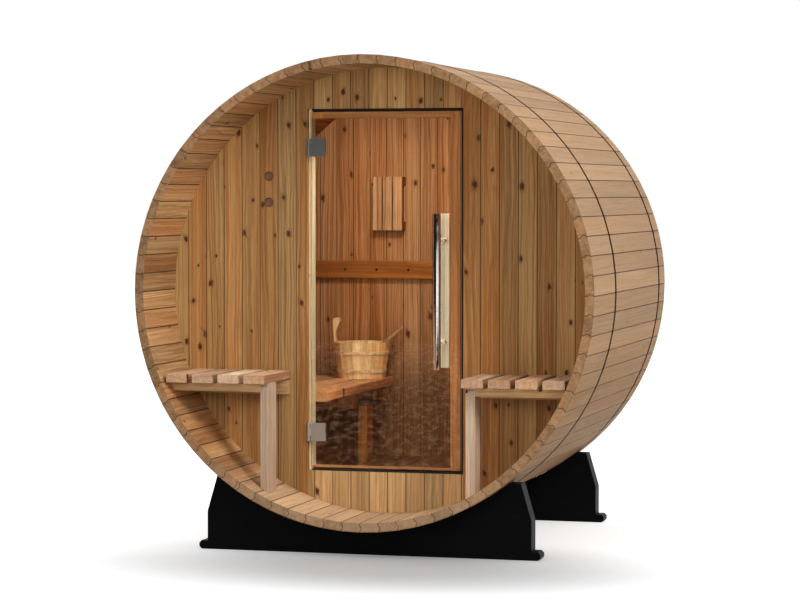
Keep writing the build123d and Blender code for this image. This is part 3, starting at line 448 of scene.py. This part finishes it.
# painted shade: darker copies of the wall colours for the boards right of the door
SHADED_COLOURS = (0.43, 0.262, 0.098, 1), (0.325, 0.126, 0.032, 1), (0.10, 0.036, 0.009, 1)
SILL_COLOURS = (0.58, 0.37, 0.17, 1), (0.43, 0.225, 0.08, 1), (0.16, 0.060, 0.016, 1)
WALL_SEAM_BROWN = (0.075, 0.030, 0.010, 1)
LOW_SHADE_BROWN = (0.06, 0.022, 0.009, 1)


def wall_boards(name, front, log, colours, knots, low_shade=0.0):
    """Upright boards side by side along X, each cut from the next log.

    The last share darkens the face at the front low down, a painted shade."""
    material, tree, shader = new_material(name)
    x, y, z = add(tree, "SeparateXYZ", {0: object_place(tree)}).outputs
    row = calc(tree, "DIVIDE", calc(tree, "SUBTRACT", x, BOARD_SHIFT), BOARD_PITCH)
    board = calc(tree, "FLOOR", row)
    sideways = calc(tree, "SUBTRACT", calc(tree, "SUBTRACT", row, board), 0.5)
    across = times(tree, sideways, BOARD_PITCH)
    through = calc(tree, "SUBTRACT", y, front)
    board = calc(tree, "ADD", board, log)
    made = grain(tree, across, through, z, board, colours, 0.42, knots, 0.0105)
    edge = calc(tree, "SUBTRACT", 0.5, calc(tree, "ABSOLUTE", sideways))
    edge = times(tree, edge, BOARD_PITCH)
    seam = ease(tree, edge, 0.0026, 0.0010)
    rounded = ease(tree, edge, 0.009, 0.0)
    colour = tint(tree, times(tree, rounded, 0.25), made["Colour"], colours[2])
    # painted highlight: a paler band beside each joint, as on a rounded edge that catches the light
    painted_edge_highlight = times(tree, ease(tree, edge, 0.0024, 0.0036), ease(tree, edge, 0.0062, 0.0048))
    colour = tint(tree, times(tree, painted_edge_highlight, 0.35), colour, colours[0])
    colour = tint(tree, times(tree, seam, 0.5), colour, WALL_SEAM_BROWN)
    front_face = ease(tree, through, 0.012, 0.004)
    # painted shade: the front face darkens low down
    low_shade_share = times(tree, ease(tree, z, 0.85, 0.50, 0.0, low_shade), front_face)
    colour = tint(tree, low_shade_share, colour, LOW_SHADE_BROWN)
    wood(tree, shader, made, colour, 0.5)
    return material


LEFT_AND_HEAD = ("front_wall_left", "front_wall_vent_board", "front_wall_head")
FRONT_WALL_FINISHES = (
    ("oiled_cedar_front_wall", WALL_COLOURS, 0.80, LEFT_AND_HEAD),
    ("oiled_cedar_right_wall_painted_shade", SHADED_COLOURS, 0.80, ("front_wall_right",)),
    ("oiled_cedar_sill_boards", SILL_COLOURS, 0.4, ("front_wall_sill",)),
)
for name, colours, knots, boards in FRONT_WALL_FINISHES:
    finish(wall_boards(name, FRONT_WALL_Y, FRONT_WALL_LOG, colours, knots), *boards)


# ---- Vent shutters ----
# Each of the two vents in the front wall is closed by a turned shutter of brown stained wood. It
# is pushed into the bore and stands a little way back from the face of the wall.
def round_heads(name, spots, normal, radius, thick, steps, lobes, sides=48):
    """Turned pieces that face along a normal, their fronts inset and raised step by step.

    Where a piece has lobes, its front is drawn in between them before the last step."""
    shape = bmesh.new()
    facing = Vector(normal)
    turn = Vector((0, 0, 1)).rotation_difference(facing).to_matrix().to_4x4()
    for spot in spots:
        place = Matrix.Translation(Vector(spot) - facing * thick / 2) @ turn
        size = {"radius1": radius, "radius2": radius, "depth": thick}
        new = bmesh.ops.create_cone(shape, cap_ends=True, segments=sides, matrix=place, **size)
        shape.normal_update()
        touched = {face for vert in new["verts"] for face in vert.link_faces}
        caps = [face for face in touched if len(face.verts) == sides]
        front = max(caps, key=lambda face: face.normal.dot(facing))
        for step, (inset, rise) in enumerate(steps):
            if lobes and step == len(steps) - 1:
                reach = sides // lobes
                drawn = [vert for i, vert in enumerate(front.verts) if i % reach < reach // 2]
                small = (LOBE_DEPTH, LOBE_DEPTH, 1.0)
                bmesh.ops.scale(shape, vec=small, space=place.inverted(), verts=drawn)
            moves = {"thickness": inset * radius, "depth": rise * radius}
            bmesh.ops.inset_region(shape, faces=[front], use_even_offset=True, **moves)
    mesh = bpy.data.meshes.new(name)
    shape.to_mesh(mesh)
    shape.free()
    made = bpy.data.objects.new(name, mesh)
    scene.collection.objects.link(made)
    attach(made, "barrel")
    return made


LOBE_DEPTH = 0.80
SHUTTER_R = 0.0184
SHUTTER_THICK = 0.008
SHUTTER_SETBACK = 0.010
SHUTTER_STEPS = [(0.07, 0.08), (0.12, -0.16)]
VENT_SPACING = 0.104
SHUTTER_DARK = (0.13, 0.060, 0.034, 1)
SHUTTER_PALE = (0.26, 0.135, 0.085, 1)
vent_x = (vent_board[0][0] + vent_board[1][0]) / 2
low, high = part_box("vent_cover")
vents_z = (low[2] + high[2]) / 2
vent_spots = [
    (vent_x, FRONT_WALL_Y + SHUTTER_SETBACK, vents_z + side * VENT_SPACING / 2)
    for side in (1, -1)
]
shutters = round_heads(
    "vent_shutters", vent_spots, (0, -1, 0), SHUTTER_R, SHUTTER_THICK, SHUTTER_STEPS, 0
)
shutter_wood, tree, shader = new_material("stained_shutter_wood")
turned = noise(tree, stretch(tree, object_place(tree), 90.0, 90.0, 12.0), 1.0, 3.0)
tree.links.new(tint(tree, turned, SHUTTER_DARK, SHUTTER_PALE), shader.inputs["Base Color"])
shader.inputs["Roughness"].default_value = 0.6
shader.inputs["Specular IOR Level"].default_value = 0.2
shutters.data.materials.append(shutter_wood)


# ---- Rear wall ----
# The same boards close the far end of the cabin. They are redder than the front wall, and their
# face to the cabin is darker low down, a painted shade.
REAR_WALL_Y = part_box("rear_wall")[0][1]
REAR_WALL_LOG = 173.2
REAR_WALL_COLOURS = (0.57, 0.270, 0.110, 1), (0.27, 0.080, 0.018, 1), (0.10, 0.028, 0.006, 1)
rear_boards = wall_boards(
    "cedar_rear_wall", REAR_WALL_Y, REAR_WALL_LOG, REAR_WALL_COLOURS, 0.70, low_shade=0.75
)
finish(rear_boards, "rear_wall")


# ---- Benches, floor, rail and light shade ----
# Planed cedar slats, boards and battens, screwed to bearers and left bare. Each is a length of
# its own, so tone and grain change from one to the next. Their faces to one side carry a painted
# shade.
def planed_boards(
    name, axis, pitch, start, log, colours, knots=0.3, dull=0.6, streaks=0.6, size=0.008, sides=1.0
):
    """Boards that run along one axis, told apart by where they lie across it.

    A log number sets the grain, and the share called sides darkens the faces beside the length,
    a painted shade that also turns them redder."""
    material, tree, shader = new_material(name)
    place = add(tree, "TexCoord")
    spot = add(tree, "SeparateXYZ", {0: place.outputs["Object"]}).outputs
    facing = add(tree, "SeparateXYZ", {0: place.outputs["Normal"]}).outputs
    length_way = "XYZ".index(axis)
    side_way = {"X": 1, "Y": 0, "Z": 0}[axis]
    others = [spot[i] for i in range(3) if i != length_way]
    from_start = calc(tree, "SUBTRACT", calc(tree, "ABSOLUTE", others[0]), start)
    row = calc(tree, "DIVIDE", from_start, pitch)
    board = calc(tree, "FLOOR", row)
    sideways = calc(tree, "SUBTRACT", calc(tree, "SUBTRACT", row, board), 0.5)
    across = times(tree, sideways, pitch)
    side = times(tree, calc(tree, "SIGN", others[0]), 23.0)
    board = calc(tree, "ADD", calc(tree, "ADD", board, side), log)
    made = grain(tree, across, others[1], spot[length_way], board, colours, streaks, knots, size)
    end = ease(tree, calc(tree, "ABSOLUTE", facing[length_way]), 0.7, 0.9)
    sawn = noise(tree, place.outputs["Object"], 160.0, 3.0, 0.6)
    end_colour = tint(tree, sawn, colours[2], colours[1])
    colour = tint(tree, times(tree, end, 0.6), made["Colour"], end_colour)
    # painted shade: the faces to one side come out darker and redder than the rest
    shaded_side_faces = ease(tree, calc(tree, "ABSOLUTE", facing[side_way]), 0.3, 0.9)
    painted_side_shade = (sides, sides * 0.80, sides * 0.66, 1)
    colour = tint(tree, shaded_side_faces, colour, painted_side_shade, "MULTIPLY")
    wood(tree, shader, made, colour, dull)
    return material


CABIN_WOOD = (0.40, 0.135, 0.030, 1), (0.31, 0.088, 0.018, 1), (0.14, 0.036, 0.008, 1)
BENCH_WOOD = (0.62, 0.31, 0.135, 1), (0.46, 0.19, 0.068, 1), (0.18, 0.06, 0.018, 1)
SHADE_WOOD = (0.60, 0.33, 0.155, 1), (0.46, 0.20, 0.078, 1), (0.20, 0.07, 0.022, 1)
FLOOR_WOOD = (0.17, 0.070, 0.030, 1), (0.12, 0.045, 0.018, 1), (0.05, 0.017, 0.006, 1)
PORCH_WOOD = (0.82, 0.66, 0.48, 1), (0.53, 0.30, 0.165, 1), (0.22, 0.085, 0.030, 1)
REAR_RAIL_WOOD = (0.41, 0.17, 0.040, 1), (0.33, 0.115, 0.025, 1), (0.14, 0.042, 0.009, 1)
WHOLE = 2.0
# the porch slats get a deeper painted shade on their sides
finish(
    planed_boards("porch_slat_cedar", "Y", 0.106, 0.383, 412.0, PORCH_WOOD, sides=0.54),
    "porch_slats_right",
    "porch_slats_left",
)
finish(
    planed_boards("floor_cedar", "Y", 0.10, 0.0, 377.0, FLOOR_WOOD),
    "floor_boards",
    "floor_joists",
)
finish(
    planed_boards("cabin_slat_cedar", "Y", 0.115, 0.2545, 412.0, BENCH_WOOD),
    "cabin_slats_right",
    "cabin_slats_left",
)
finish(
    planed_boards("cabin_frame_cedar", "Z", 0.5, 0.0, 419.0, CABIN_WOOD),
    "cabin_frame_right",
    "cabin_frame_left",
)
finish(
    planed_boards("backrest_cedar", "Y", WHOLE, 0.0, 398.0, CABIN_WOOD),
    "backrest_slats_right",
    "backrest_slats_left",
    "backrest_ribs_right",
    "backrest_ribs_left",
)
finish(
    planed_boards("rail_cedar", "X", WHOLE, 0.0, 370.0, REAR_RAIL_WOOD, size=0.012), "rear_rail"
)
finish(planed_boards("shade_cedar", "Z", 0.0455, 0.0, 377.0, SHADE_WOOD, 0.1), "shade_slats")
finish(planed_boards("batten_cedar", "X", WHOLE, 0.0, 384.0, CABIN_WOOD, 0.1), "shade_battens")
finish(
    planed_boards("vent_cover_cedar", "Z", 0.3, 0.0, 412.0, REAR_WALL_COLOURS, 0.1), "vent_cover"
)


# ---- Porch bench frames ----
# Under each porch bench a cedar rail and a wall cleat run across the slats, and a paler, newer
# leg stands on the staves at the inner end. The rail's top edge carries a painted shadow of the
# slats.
RAIL_WOOD = (0.62, 0.39, 0.18, 1), (0.50, 0.26, 0.105, 1), (0.18, 0.07, 0.022, 1)
LEG_WOOD = (0.48, 0.35, 0.24, 1), (0.43, 0.29, 0.19, 1), (0.28, 0.175, 0.108, 1)
RAIL_TOP_SHADOW_BROWN = (0.06, 0.022, 0.008, 1)
frame_low, frame_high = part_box("porch_frame_right")
LEG_WIDTH = 0.0392
porch_frame, tree, shader = new_material("porch_frame_wood")
x, y, z = add(tree, "SeparateXYZ", {0: object_place(tree)}).outputs
inner_end = calc(tree, "LESS_THAN", calc(tree, "ABSOLUTE", x), frame_low[0] + LEG_WIDTH)
leg = times(tree, inner_end, calc(tree, "LESS_THAN", y, -0.5))
lying = calc(tree, "SUBTRACT", 1.0, leg)
along = calc(tree, "ADD", times(tree, leg, z), times(tree, lying, x))
across = calc(tree, "ADD", times(tree, leg, x), times(tree, lying, z))
colours = [tint(tree, leg, rail, pale) for rail, pale in zip(RAIL_WOOD, LEG_WOOD)]
piece = calc(tree, "MULTIPLY_ADD", leg, 3.0, calc(tree, "SIGN", x))
made = grain(tree, across, y, along, piece, colours, 0.35, 0.15, 0.007)
rail_top = frame_high[2]
# painted shadow: the rail darkens along its top edge, under the slats
painted_rail_shadow = times(tree, ease(tree, z, rail_top - 0.008, rail_top - 0.002, 0.0, 0.75), lying)
colour = tint(tree, painted_rail_shadow, made["Colour"], RAIL_TOP_SHADOW_BROWN)
wood(tree, shader, made, colour, 0.65)
finish(porch_frame, "porch_frame_right", "porch_frame_left")


# ---- Bucket, ladle and inner handle ----
# The bucket is coopered from honey-coloured aspen and held by hoops of split ash; its ladle is
# turned from the same wood. The inner handle is a square bar of almost white aspen.
HONEY = (0.86, 0.56, 0.26, 1), (0.78, 0.46, 0.19, 1), (0.55, 0.28, 0.10, 1)
PALE_HOOP = (0.96, 0.74, 0.44, 1), (0.90, 0.64, 0.34, 1), (0.60, 0.34, 0.14, 1)
BAR_WOOD = (0.86, 0.73, 0.52, 1), (0.80, 0.64, 0.42, 1), (0.58, 0.42, 0.24, 1)
SMALL_PIECES = (
    ("aspen_bucket", "Z", 0.031, 384.0, HONEY, 0.0, 0.35, "bucket"),
    ("split_ash_hoops", "X", 0.5, 405.0, PALE_HOOP, 0.0, 0.25, "bucket_hoops"),
    ("ladle_wood", "Z", 0.3, 370.0, SHADE_WOOD, 0.0, 0.35, "ladle"),
    ("aspen_handle", "Z", 0.4, 384.0, BAR_WOOD, 0.1, 0.25, "handle_inner"),
)
for name, axis, pitch, log, colours, knots, streaks, node in SMALL_PIECES:
    finish(planed_boards(name, axis, pitch, 0.0, log, colours, knots, 0.5, streaks), node)


# ---- Door jamb ----
# Four boards line the doorway behind the glass. The stile that carries the hinges is a strip of
# pale aspen. The stile that stops the glass, the head and the sill are red cedar.
JAMB_ASPEN = (0.60, 0.475, 0.285, 1), (0.55, 0.395, 0.21, 1), (0.38, 0.25, 0.12, 1)
JAMB_CEDAR = (0.47, 0.19, 0.064, 1), (0.38, 0.13, 0.040, 1), (0.15, 0.045, 0.012, 1)
HINGE_STILE_WIDTH = 0.012
LATCH_STILE_WIDTH = 0.0572
jamb_low, jamb_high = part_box("door_jamb")
jamb, tree, shader = new_material("jamb_wood")
x, y, z = add(tree, "SeparateXYZ", {0: object_place(tree)}).outputs
stile_x = jamb_high[0] - LATCH_STILE_WIDTH
upright = calc(tree, "GREATER_THAN", calc(tree, "ABSOLUTE", x), stile_x)
lying = calc(tree, "SUBTRACT", 1.0, upright)
along = calc(tree, "ADD", times(tree, upright, z), times(tree, lying, x))
across = calc(tree, "ADD", times(tree, upright, x), times(tree, lying, z))
cedar = calc(tree, "GREATER_THAN", x, jamb_low[0] + HINGE_STILE_WIDTH)
colours = [tint(tree, cedar, pale, red) for pale, red in zip(JAMB_ASPEN, JAMB_CEDAR)]
piece = calc(tree, "MULTIPLY_ADD", upright, 5.0, cedar)
made = grain(tree, across, y, along, piece, colours, 0.45, 0.15, 0.006)
wood(tree, shader, made, made["Colour"], 0.5)
finish(jamb, "door_jamb")


# ---- Gasket ----
# An extruded black rubber seal, pressed round the doorway in front of the jamb. Dust leaves its
# matt face slightly uneven.
rubber, tree, shader = new_material("black_rubber_seal")
dusty = noise(tree, object_place(tree), 60.0, 3.0)
black = tint(tree, dusty, (0.006, 0.006, 0.006, 1), (0.014, 0.014, 0.013, 1))
tree.links.new(black, shader.inputs["Base Color"])
tree.links.new(calc(tree, "MULTIPLY_ADD", dusty, 0.2, 0.5), shader.inputs["Roughness"])
finish(rubber, "door_gasket")


# ---- Glass door ----
# One pane of clear toughened glass, 8 mm thick, with polished edges that look faintly green. Its
# holes for the hinges and the handle are bored before it is toughened.
glass, tree, shader = new_material("clear_door_glass")
shader.inputs["Base Color"].default_value = (0.93, 0.965, 0.95, 1)
shader.inputs["Roughness"].default_value = 0.0
shader.inputs["IOR"].default_value = 1.5
shader.inputs["Transmission Weight"].default_value = 1.0
lamp_ray = add(tree, "LightPath").outputs["Is Shadow Ray"]
clear = add(tree, "BsdfTransparent", {0: (0.9, 0.93, 0.92, 1)})
seen = add(tree, "MixShader", {0: lamp_ray, 1: shader.outputs[0], 2: clear.outputs[0]})
tree.links.new(seen.outputs[0], tree.nodes["Material Output"].inputs["Surface"])
finish(glass, "door_glass")


# ---- Hinges ----
# Clamps of brushed stainless steel grip the glass through a hole and turn on pins in a leaf on
# the wall. The lower one is a little brighter than the upper, as painted light.
STEEL_DULL = (0.21, 0.26, 0.27, 1), (0.29, 0.34, 0.35, 1)
STEEL_BRIGHT = (0.44, 0.46, 0.42, 1), (0.58, 0.60, 0.55, 1)
brushed, tree, shader = new_material("brushed_hinge_steel")
place = object_place(tree)
brush = noise(tree, stretch(tree, place, 1400.0, 400.0, 30.0), 1.0, 3.0)
# painted light: the steel turns brighter towards the lower hinge
lower_hinge_light = ease(tree, add(tree, "SeparateXYZ", {0: place}).outputs[2], 1.2, 0.8)
steel = tint(tree, lower_hinge_light, tint(tree, brush, *STEEL_DULL), tint(tree, brush, *STEEL_BRIGHT))
tree.links.new(steel, shader.inputs["Base Color"])
tree.links.new(calc(tree, "MULTIPLY_ADD", brush, 0.25, 0.22), shader.inputs["Roughness"])
shader.inputs["Metallic"].default_value = 0.75
relief(tree, shader, brush, 0.0001, 0.5)
finish(brushed, "hinge_wall_leaves", "hinge_clamps", "hinge_backplates")


# ---- Outer handle ----
# A polished stainless tube on two posts through the glass. The posts and their washers are
# turned and left satin.
HANDLE_TUBE_DEPTH = 0.0335
SATIN_STEEL = (0.86, 0.82, 0.76, 1)
polished, tree, shader = new_material("polished_handle_steel")
place = object_place(tree)
smears = noise(tree, place, 25.0, 5.0, 0.7)
steel = tint(tree, smears, (0.72, 0.72, 0.72, 1), (0.80, 0.80, 0.80, 1))
tube_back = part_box("handle_outer")[0][1] + HANDLE_TUBE_DEPTH
satin = calc(tree, "GREATER_THAN", add(tree, "SeparateXYZ", {0: place}).outputs[1], tube_back)
tree.links.new(tint(tree, satin, steel, SATIN_STEEL), shader.inputs["Base Color"])
shader.inputs["Specular Tint"].default_value = (0.35, 0.35, 0.35, 1)
rough = calc(tree, "MULTIPLY_ADD", ease(tree, smears, 0.4, 0.7), 0.08, 0.04)
rough = calc(tree, "MULTIPLY_ADD", satin, 0.45, rough)
tree.links.new(rough, shader.inputs["Roughness"])
tree.links.new(calc(tree, "MULTIPLY_ADD", satin, -0.7, 1.0), shader.inputs["Metallic"])
finish(polished, "handle_outer")


# ---- Screws ----
# Screws of darkened stainless steel with a star-shaped socket hold the rear rail to the boards
# behind it and the porch rails to their legs.
SCREW_STEPS = [(0.10, 0.06), (0.34, 0.0), (0.04, -0.16)]
SCREW_LOBES = 6
SCREW_LENGTH = 0.005
PROUD = 0.0010
RAIL_SCREW_COUNT = 9
RAIL_SCREW_FIRST = -0.616
RAIL_SCREW_PITCH = 0.1433
RAIL_SCREW_R = 0.0058
LEG_SCREW_R = 0.0025
LEG_SCREW_INSETS = (0.016, 0.028)
LEG_SCREW_DROP = 0.013
screw_steel, tree, shader = new_material("screw_steel")
rubbed = noise(tree, object_place(tree), 300.0, 3.0)
steel = tint(tree, rubbed, (0.012, 0.009, 0.007, 1), (0.05, 0.042, 0.036, 1))
tree.links.new(steel, shader.inputs["Base Color"])
tree.links.new(calc(tree, "MULTIPLY_ADD", rubbed, 0.3, 0.3), shader.inputs["Roughness"])
shader.inputs["Metallic"].default_value = 0.6
low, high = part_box("rear_rail")
rail_spots = [
    (RAIL_SCREW_FIRST + RAIL_SCREW_PITCH * i, low[1] - PROUD, (low[2] + high[2]) / 2)
    for i in range(RAIL_SCREW_COUNT)
]
leg_spots = [
    (side * (frame_low[0] + inset), frame_low[1] - PROUD / 2, rail_top - LEG_SCREW_DROP)
    for side in (-1, 1)
    for inset in LEG_SCREW_INSETS
]
for name, spots, radius in (
    ("rail_screws", rail_spots, RAIL_SCREW_R),
    ("leg_screws", leg_spots, LEG_SCREW_R),
):
    screws = round_heads(name, spots, (0, -1, 0), radius, SCREW_LENGTH, SCREW_STEPS, SCREW_LOBES)
    screws.data.materials.append(screw_steel)


# ---- Floor and white room ----
# A plain pale floor in a white room. For rays from the camera, gloss or glass the floor glows,
# faintly in a patch in front of the front cradle, where it keeps the shadow, and strongly
# elsewhere, under and behind the sauna too, where the glow is painted light over its shadow.
def sheet_of(name, corners):
    """A flat sheet of the studio with the given corners."""
    mesh = bpy.data.meshes.new(name)
    shape = bmesh.new()
    shape.faces.new([shape.verts.new(corner) for corner in corners])
    shape.to_mesh(mesh)
    shape.free()
    made = bpy.data.objects.new(name, mesh)
    scene.collection.objects.link(made)
    return made


def seen_rays(tree):
    """1 for rays from the camera and those that gloss or glass sends on, otherwise 0."""
    path = add(tree, "LightPath").outputs
    seen = calc(tree, "MAXIMUM", path["Is Camera Ray"], path["Is Glossy Ray"])
    return calc(tree, "MAXIMUM", seen, path["Is Transmission Ray"])


FAR = 30.0
GLOW_MIDDLE = (0.18, -1.0)
GLOW_SPREAD = (1.4, 0.8)
floor = sheet_of("studio_floor", [(-FAR, -FAR, 0), (FAR, -FAR, 0), (FAR, FAR, 0), (-FAR, FAR, 0)])
pale_floor, tree, shader = new_material("pale_studio_floor")
shader.inputs["Base Color"].default_value = (0.925, 0.945, 0.955, 1)
shader.inputs["Roughness"].default_value = 1.0
shader.inputs["Specular IOR Level"].default_value = 0.0
shader.inputs["Emission Color"].default_value = (1, 1, 1, 1)
spot = add(tree, "SeparateXYZ", {0: object_place(tree)}).outputs
from_middle = vector(
    tree,
    *(
        calc(tree, "DIVIDE", calc(tree, "SUBTRACT", spot[i], GLOW_MIDDLE[i]), GLOW_SPREAD[i])
        for i in range(2)
    ),
)
# painted light: the glow rises away from a patch in front of the front cradle
glow = ease(tree, length(tree, from_middle), 0.2, 1.15, 0.02, 0.60)
tree.links.new(times(tree, seen_rays(tree), glow), shader.inputs["Emission Strength"])
floor.data.materials.append(pale_floor)

world = bpy.data.worlds.new("white_room")
world.use_nodes = True
scene.world = world
tree = world.node_tree
room = tree.nodes["Background"]
room.inputs["Color"].default_value = (1, 1, 1, 1)
strength = calc(tree, "MULTIPLY_ADD", seen_rays(tree), 0.30, 0.70)
tree.links.new(strength, room.inputs["Strength"])


# ---- Lamps ----
# One large soft lamp at the front right, with weaker ones in front and above. Three small ones
# reach what would stay too dark: the cabin, what shows past the door, and the inner handle. The
# floor is left out by three of them, and only the first shows in reflections.
def soft_lamp(name, spot, target, size, power):
    """A round lamp of a size in metres and a power in watts, turned towards a target."""
    lamp = bpy.data.lights.new(name, "AREA")
    lamp.shape = "DISK"
    lamp.size = size
    lamp.energy = power
    made = bpy.data.objects.new(name, lamp)
    scene.collection.objects.link(made)
    made.location = spot
    made.rotation_euler = (Vector(target) - Vector(spot)).to_track_quat("-Z", "Y").to_euler()
    return made


def lit_pieces(name, *lit):
    """A group of objects for a lamp to light, or to leave out where its link says so."""
    group = bpy.data.collections.new(name)
    for piece in lit:
        group.objects.link(piece)
    return group


key_lamp = soft_lamp("key_lamp", (5.1, -3.6, 4.4), (0, 0, 1.0), 2.4, 325)
front_lamp = soft_lamp("front_lamp", (0.7, -8.0, 2.3), (0, 0, 1.0), 2.0, 108)
top_lamp = soft_lamp("top_lamp", (0.3, 2.2, 6.0), (0, 0, 0.5), 3.0, 50)
door_lamp = soft_lamp("door_lamp", (0.5, -3.4, 1.7), (0.0, 0.3, 0.9), 0.8, 42)
cabin_lamp = soft_lamp("cabin_lamp", (0.0, -0.22, 1.70), (0, 0.5, 0.6), 0.3, 10)
bar_lamp = soft_lamp("bar_lamp", (-0.9, -2.4, 1.8), (0.21, -0.36, 1.0), 0.5, 15)
all_but_floor = lit_pieces("all_but_floor", floor)
all_but_floor.collection_objects[0].light_linking.link_state = "EXCLUDE"
for lamp in (key_lamp, front_lamp, cabin_lamp):
    lamp.light_linking.receiver_collection = all_but_floor
PAST_THE_DOOR = (
    "rear_wall",
    "rear_rail",
    "door_jamb",
    "handle_inner",
    "bucket",
    "bucket_hoops",
    "ladle",
    "cabin_slats_left",
    "backrest_slats_left",
    "shade_slats",
)
past_the_door = lit_pieces("past_the_door", *(nodes[name] for name in PAST_THE_DOOR))
door_lamp.light_linking.receiver_collection = past_the_door
bar_lamp.light_linking.receiver_collection = lit_pieces("inner_bar", nodes["handle_inner"])
for lamp in (front_lamp, cabin_lamp, top_lamp, door_lamp, bar_lamp):
    for kind in ("camera", "glossy", "transmission"):
        setattr(lamp, "visible_" + kind, False)


# ---- Dark screens ----
# Dark cloths round the front of the room, seen only in reflections and through glass, keep the
# door clear and give the polished steel something dark to mirror. One on the ground glows with a
# pattern like fallen leaves, which the foot of the door mirrors: a painted reflection. For rays
# that have already bounced off a diffuse surface, all of them glow as bright as the room.
LEFT, NEAR, SPLIT, RIGHT = -16, -14, 1.2, 16
TOP = 9
LIFTED = 0.85
GROUND = 0.01
CLOTH_DARK = (0.012, 0.009, 0.008, 1)
CLOTH_PALE = (0.10, 0.055, 0.035, 1)
ROOM_LEVEL = 0.70
dark_cloth, tree, shader = new_material("dark_screen_cloth")
patches = ease(tree, noise(tree, object_place(tree), 1.6, 5.0, 0.65), 0.45, 0.7)
tree.links.new(tint(tree, patches, CLOTH_DARK, CLOTH_PALE), shader.inputs["Base Color"])
shader.inputs["Roughness"].default_value = 1.0
shader.inputs["Specular IOR Level"].default_value = 0.0
shader.inputs["Emission Color"].default_value = (1, 1, 1, 1)
# painted light: the cloths glow as bright as the room for rays sent on by a diffuse surface
bounced = calc(tree, "GREATER_THAN", add(tree, "LightPath").outputs["Diffuse Depth"], 0.5)
tree.links.new(times(tree, bounced, ROOM_LEVEL), shader.inputs["Emission Strength"])

LEAF_DARK = (0.27, 0.11, 0.04, 1)
LEAF_PALE = (1.35, 0.75, 0.44, 1)
leafy_ground, tree, shader = new_material("glowing_leafy_ground_cloth")
shader.inputs["Base Color"].default_value = (0.0, 0.0, 0.0, 1)
shader.inputs["Specular IOR Level"].default_value = 0.0
x, y, z = add(tree, "SeparateXYZ", {0: object_place(tree)}).outputs
slanted = calc(tree, "MULTIPLY_ADD", y, -0.27, x)
fallen = vector(tree, times(tree, slanted, 20.0), times(tree, y, 2.6))
leaves = ease(tree, noise(tree, fallen, 1.0, 6.0, 0.7), 0.45, 0.66)
bounced = calc(tree, "GREATER_THAN", add(tree, "LightPath").outputs["Diffuse Depth"], 0.5)
room_grey = (ROOM_LEVEL, ROOM_LEVEL, ROOM_LEVEL, 1)
leaves = tint(tree, bounced, tint(tree, leaves, LEAF_DARK, LEAF_PALE), room_grey)
# painted reflection: the leaf pattern is a glow, not a lit cloth
tree.links.new(leaves, shader.inputs["Emission Color"])
shader.inputs["Emission Strength"].default_value = 1.0


def upright_sheet(name, start, end, low):
    """A screen that stands between two points of the floor plan, from a height to the top."""
    return sheet_of(name, [(*start, low), (*start, TOP), (*end, TOP), (*end, low)])


def ground_sheet(name, near_left, far_right):
    (x0, y0), (x1, y1) = near_left, far_right
    return sheet_of(name, [(x0, y0, GROUND), (x1, y0, GROUND), (x1, y1, GROUND), (x0, y1, GROUND)])


screens = (
    (upright_sheet("dark_screen", (LEFT, NEAR), (SPLIT, NEAR), 0), dark_cloth),
    (upright_sheet("dark_side_screen", (LEFT, NEAR), (LEFT, -1), 0), dark_cloth),
    (ground_sheet("dark_ground_cloth", (LEFT, NEAR), (SPLIT, -1.3)), leafy_ground),
    (upright_sheet("dark_upper_screen", (SPLIT, NEAR), (RIGHT, NEAR), LIFTED), dark_cloth),
    (upright_sheet("dark_right_screen", (RIGHT, NEAR), (RIGHT, 6), LIFTED), dark_cloth),
    (ground_sheet("dark_right_cloth", (SPLIT, NEAR), (13.5, 3)), dark_cloth),
)
for screen, cloth in screens:
    screen.data.materials.append(cloth)
    for kind in ("camera", "diffuse", "shadow"):
        setattr(screen, "visible_" + kind, False)


# ---- Camera ----
# A long lens at chest height, a little to the right of the porch.
SENSOR_WIDTH = 36.0
camera = bpy.data.objects.new("camera", bpy.data.cameras.new("camera"))
scene.collection.objects.link(camera)
scene.camera = camera
camera.data.sensor_width = SENSOR_WIDTH
camera.data.lens = 3.37 * SENSOR_WIDTH
camera.data.clip_end = 200.0
camera.location = (2.900, -10.651, 1.409)
camera.rotation_euler = (pi / 2 - 0.0404, 0.0, 0.2701)
scene.view_settings.view_transform = "Standard"
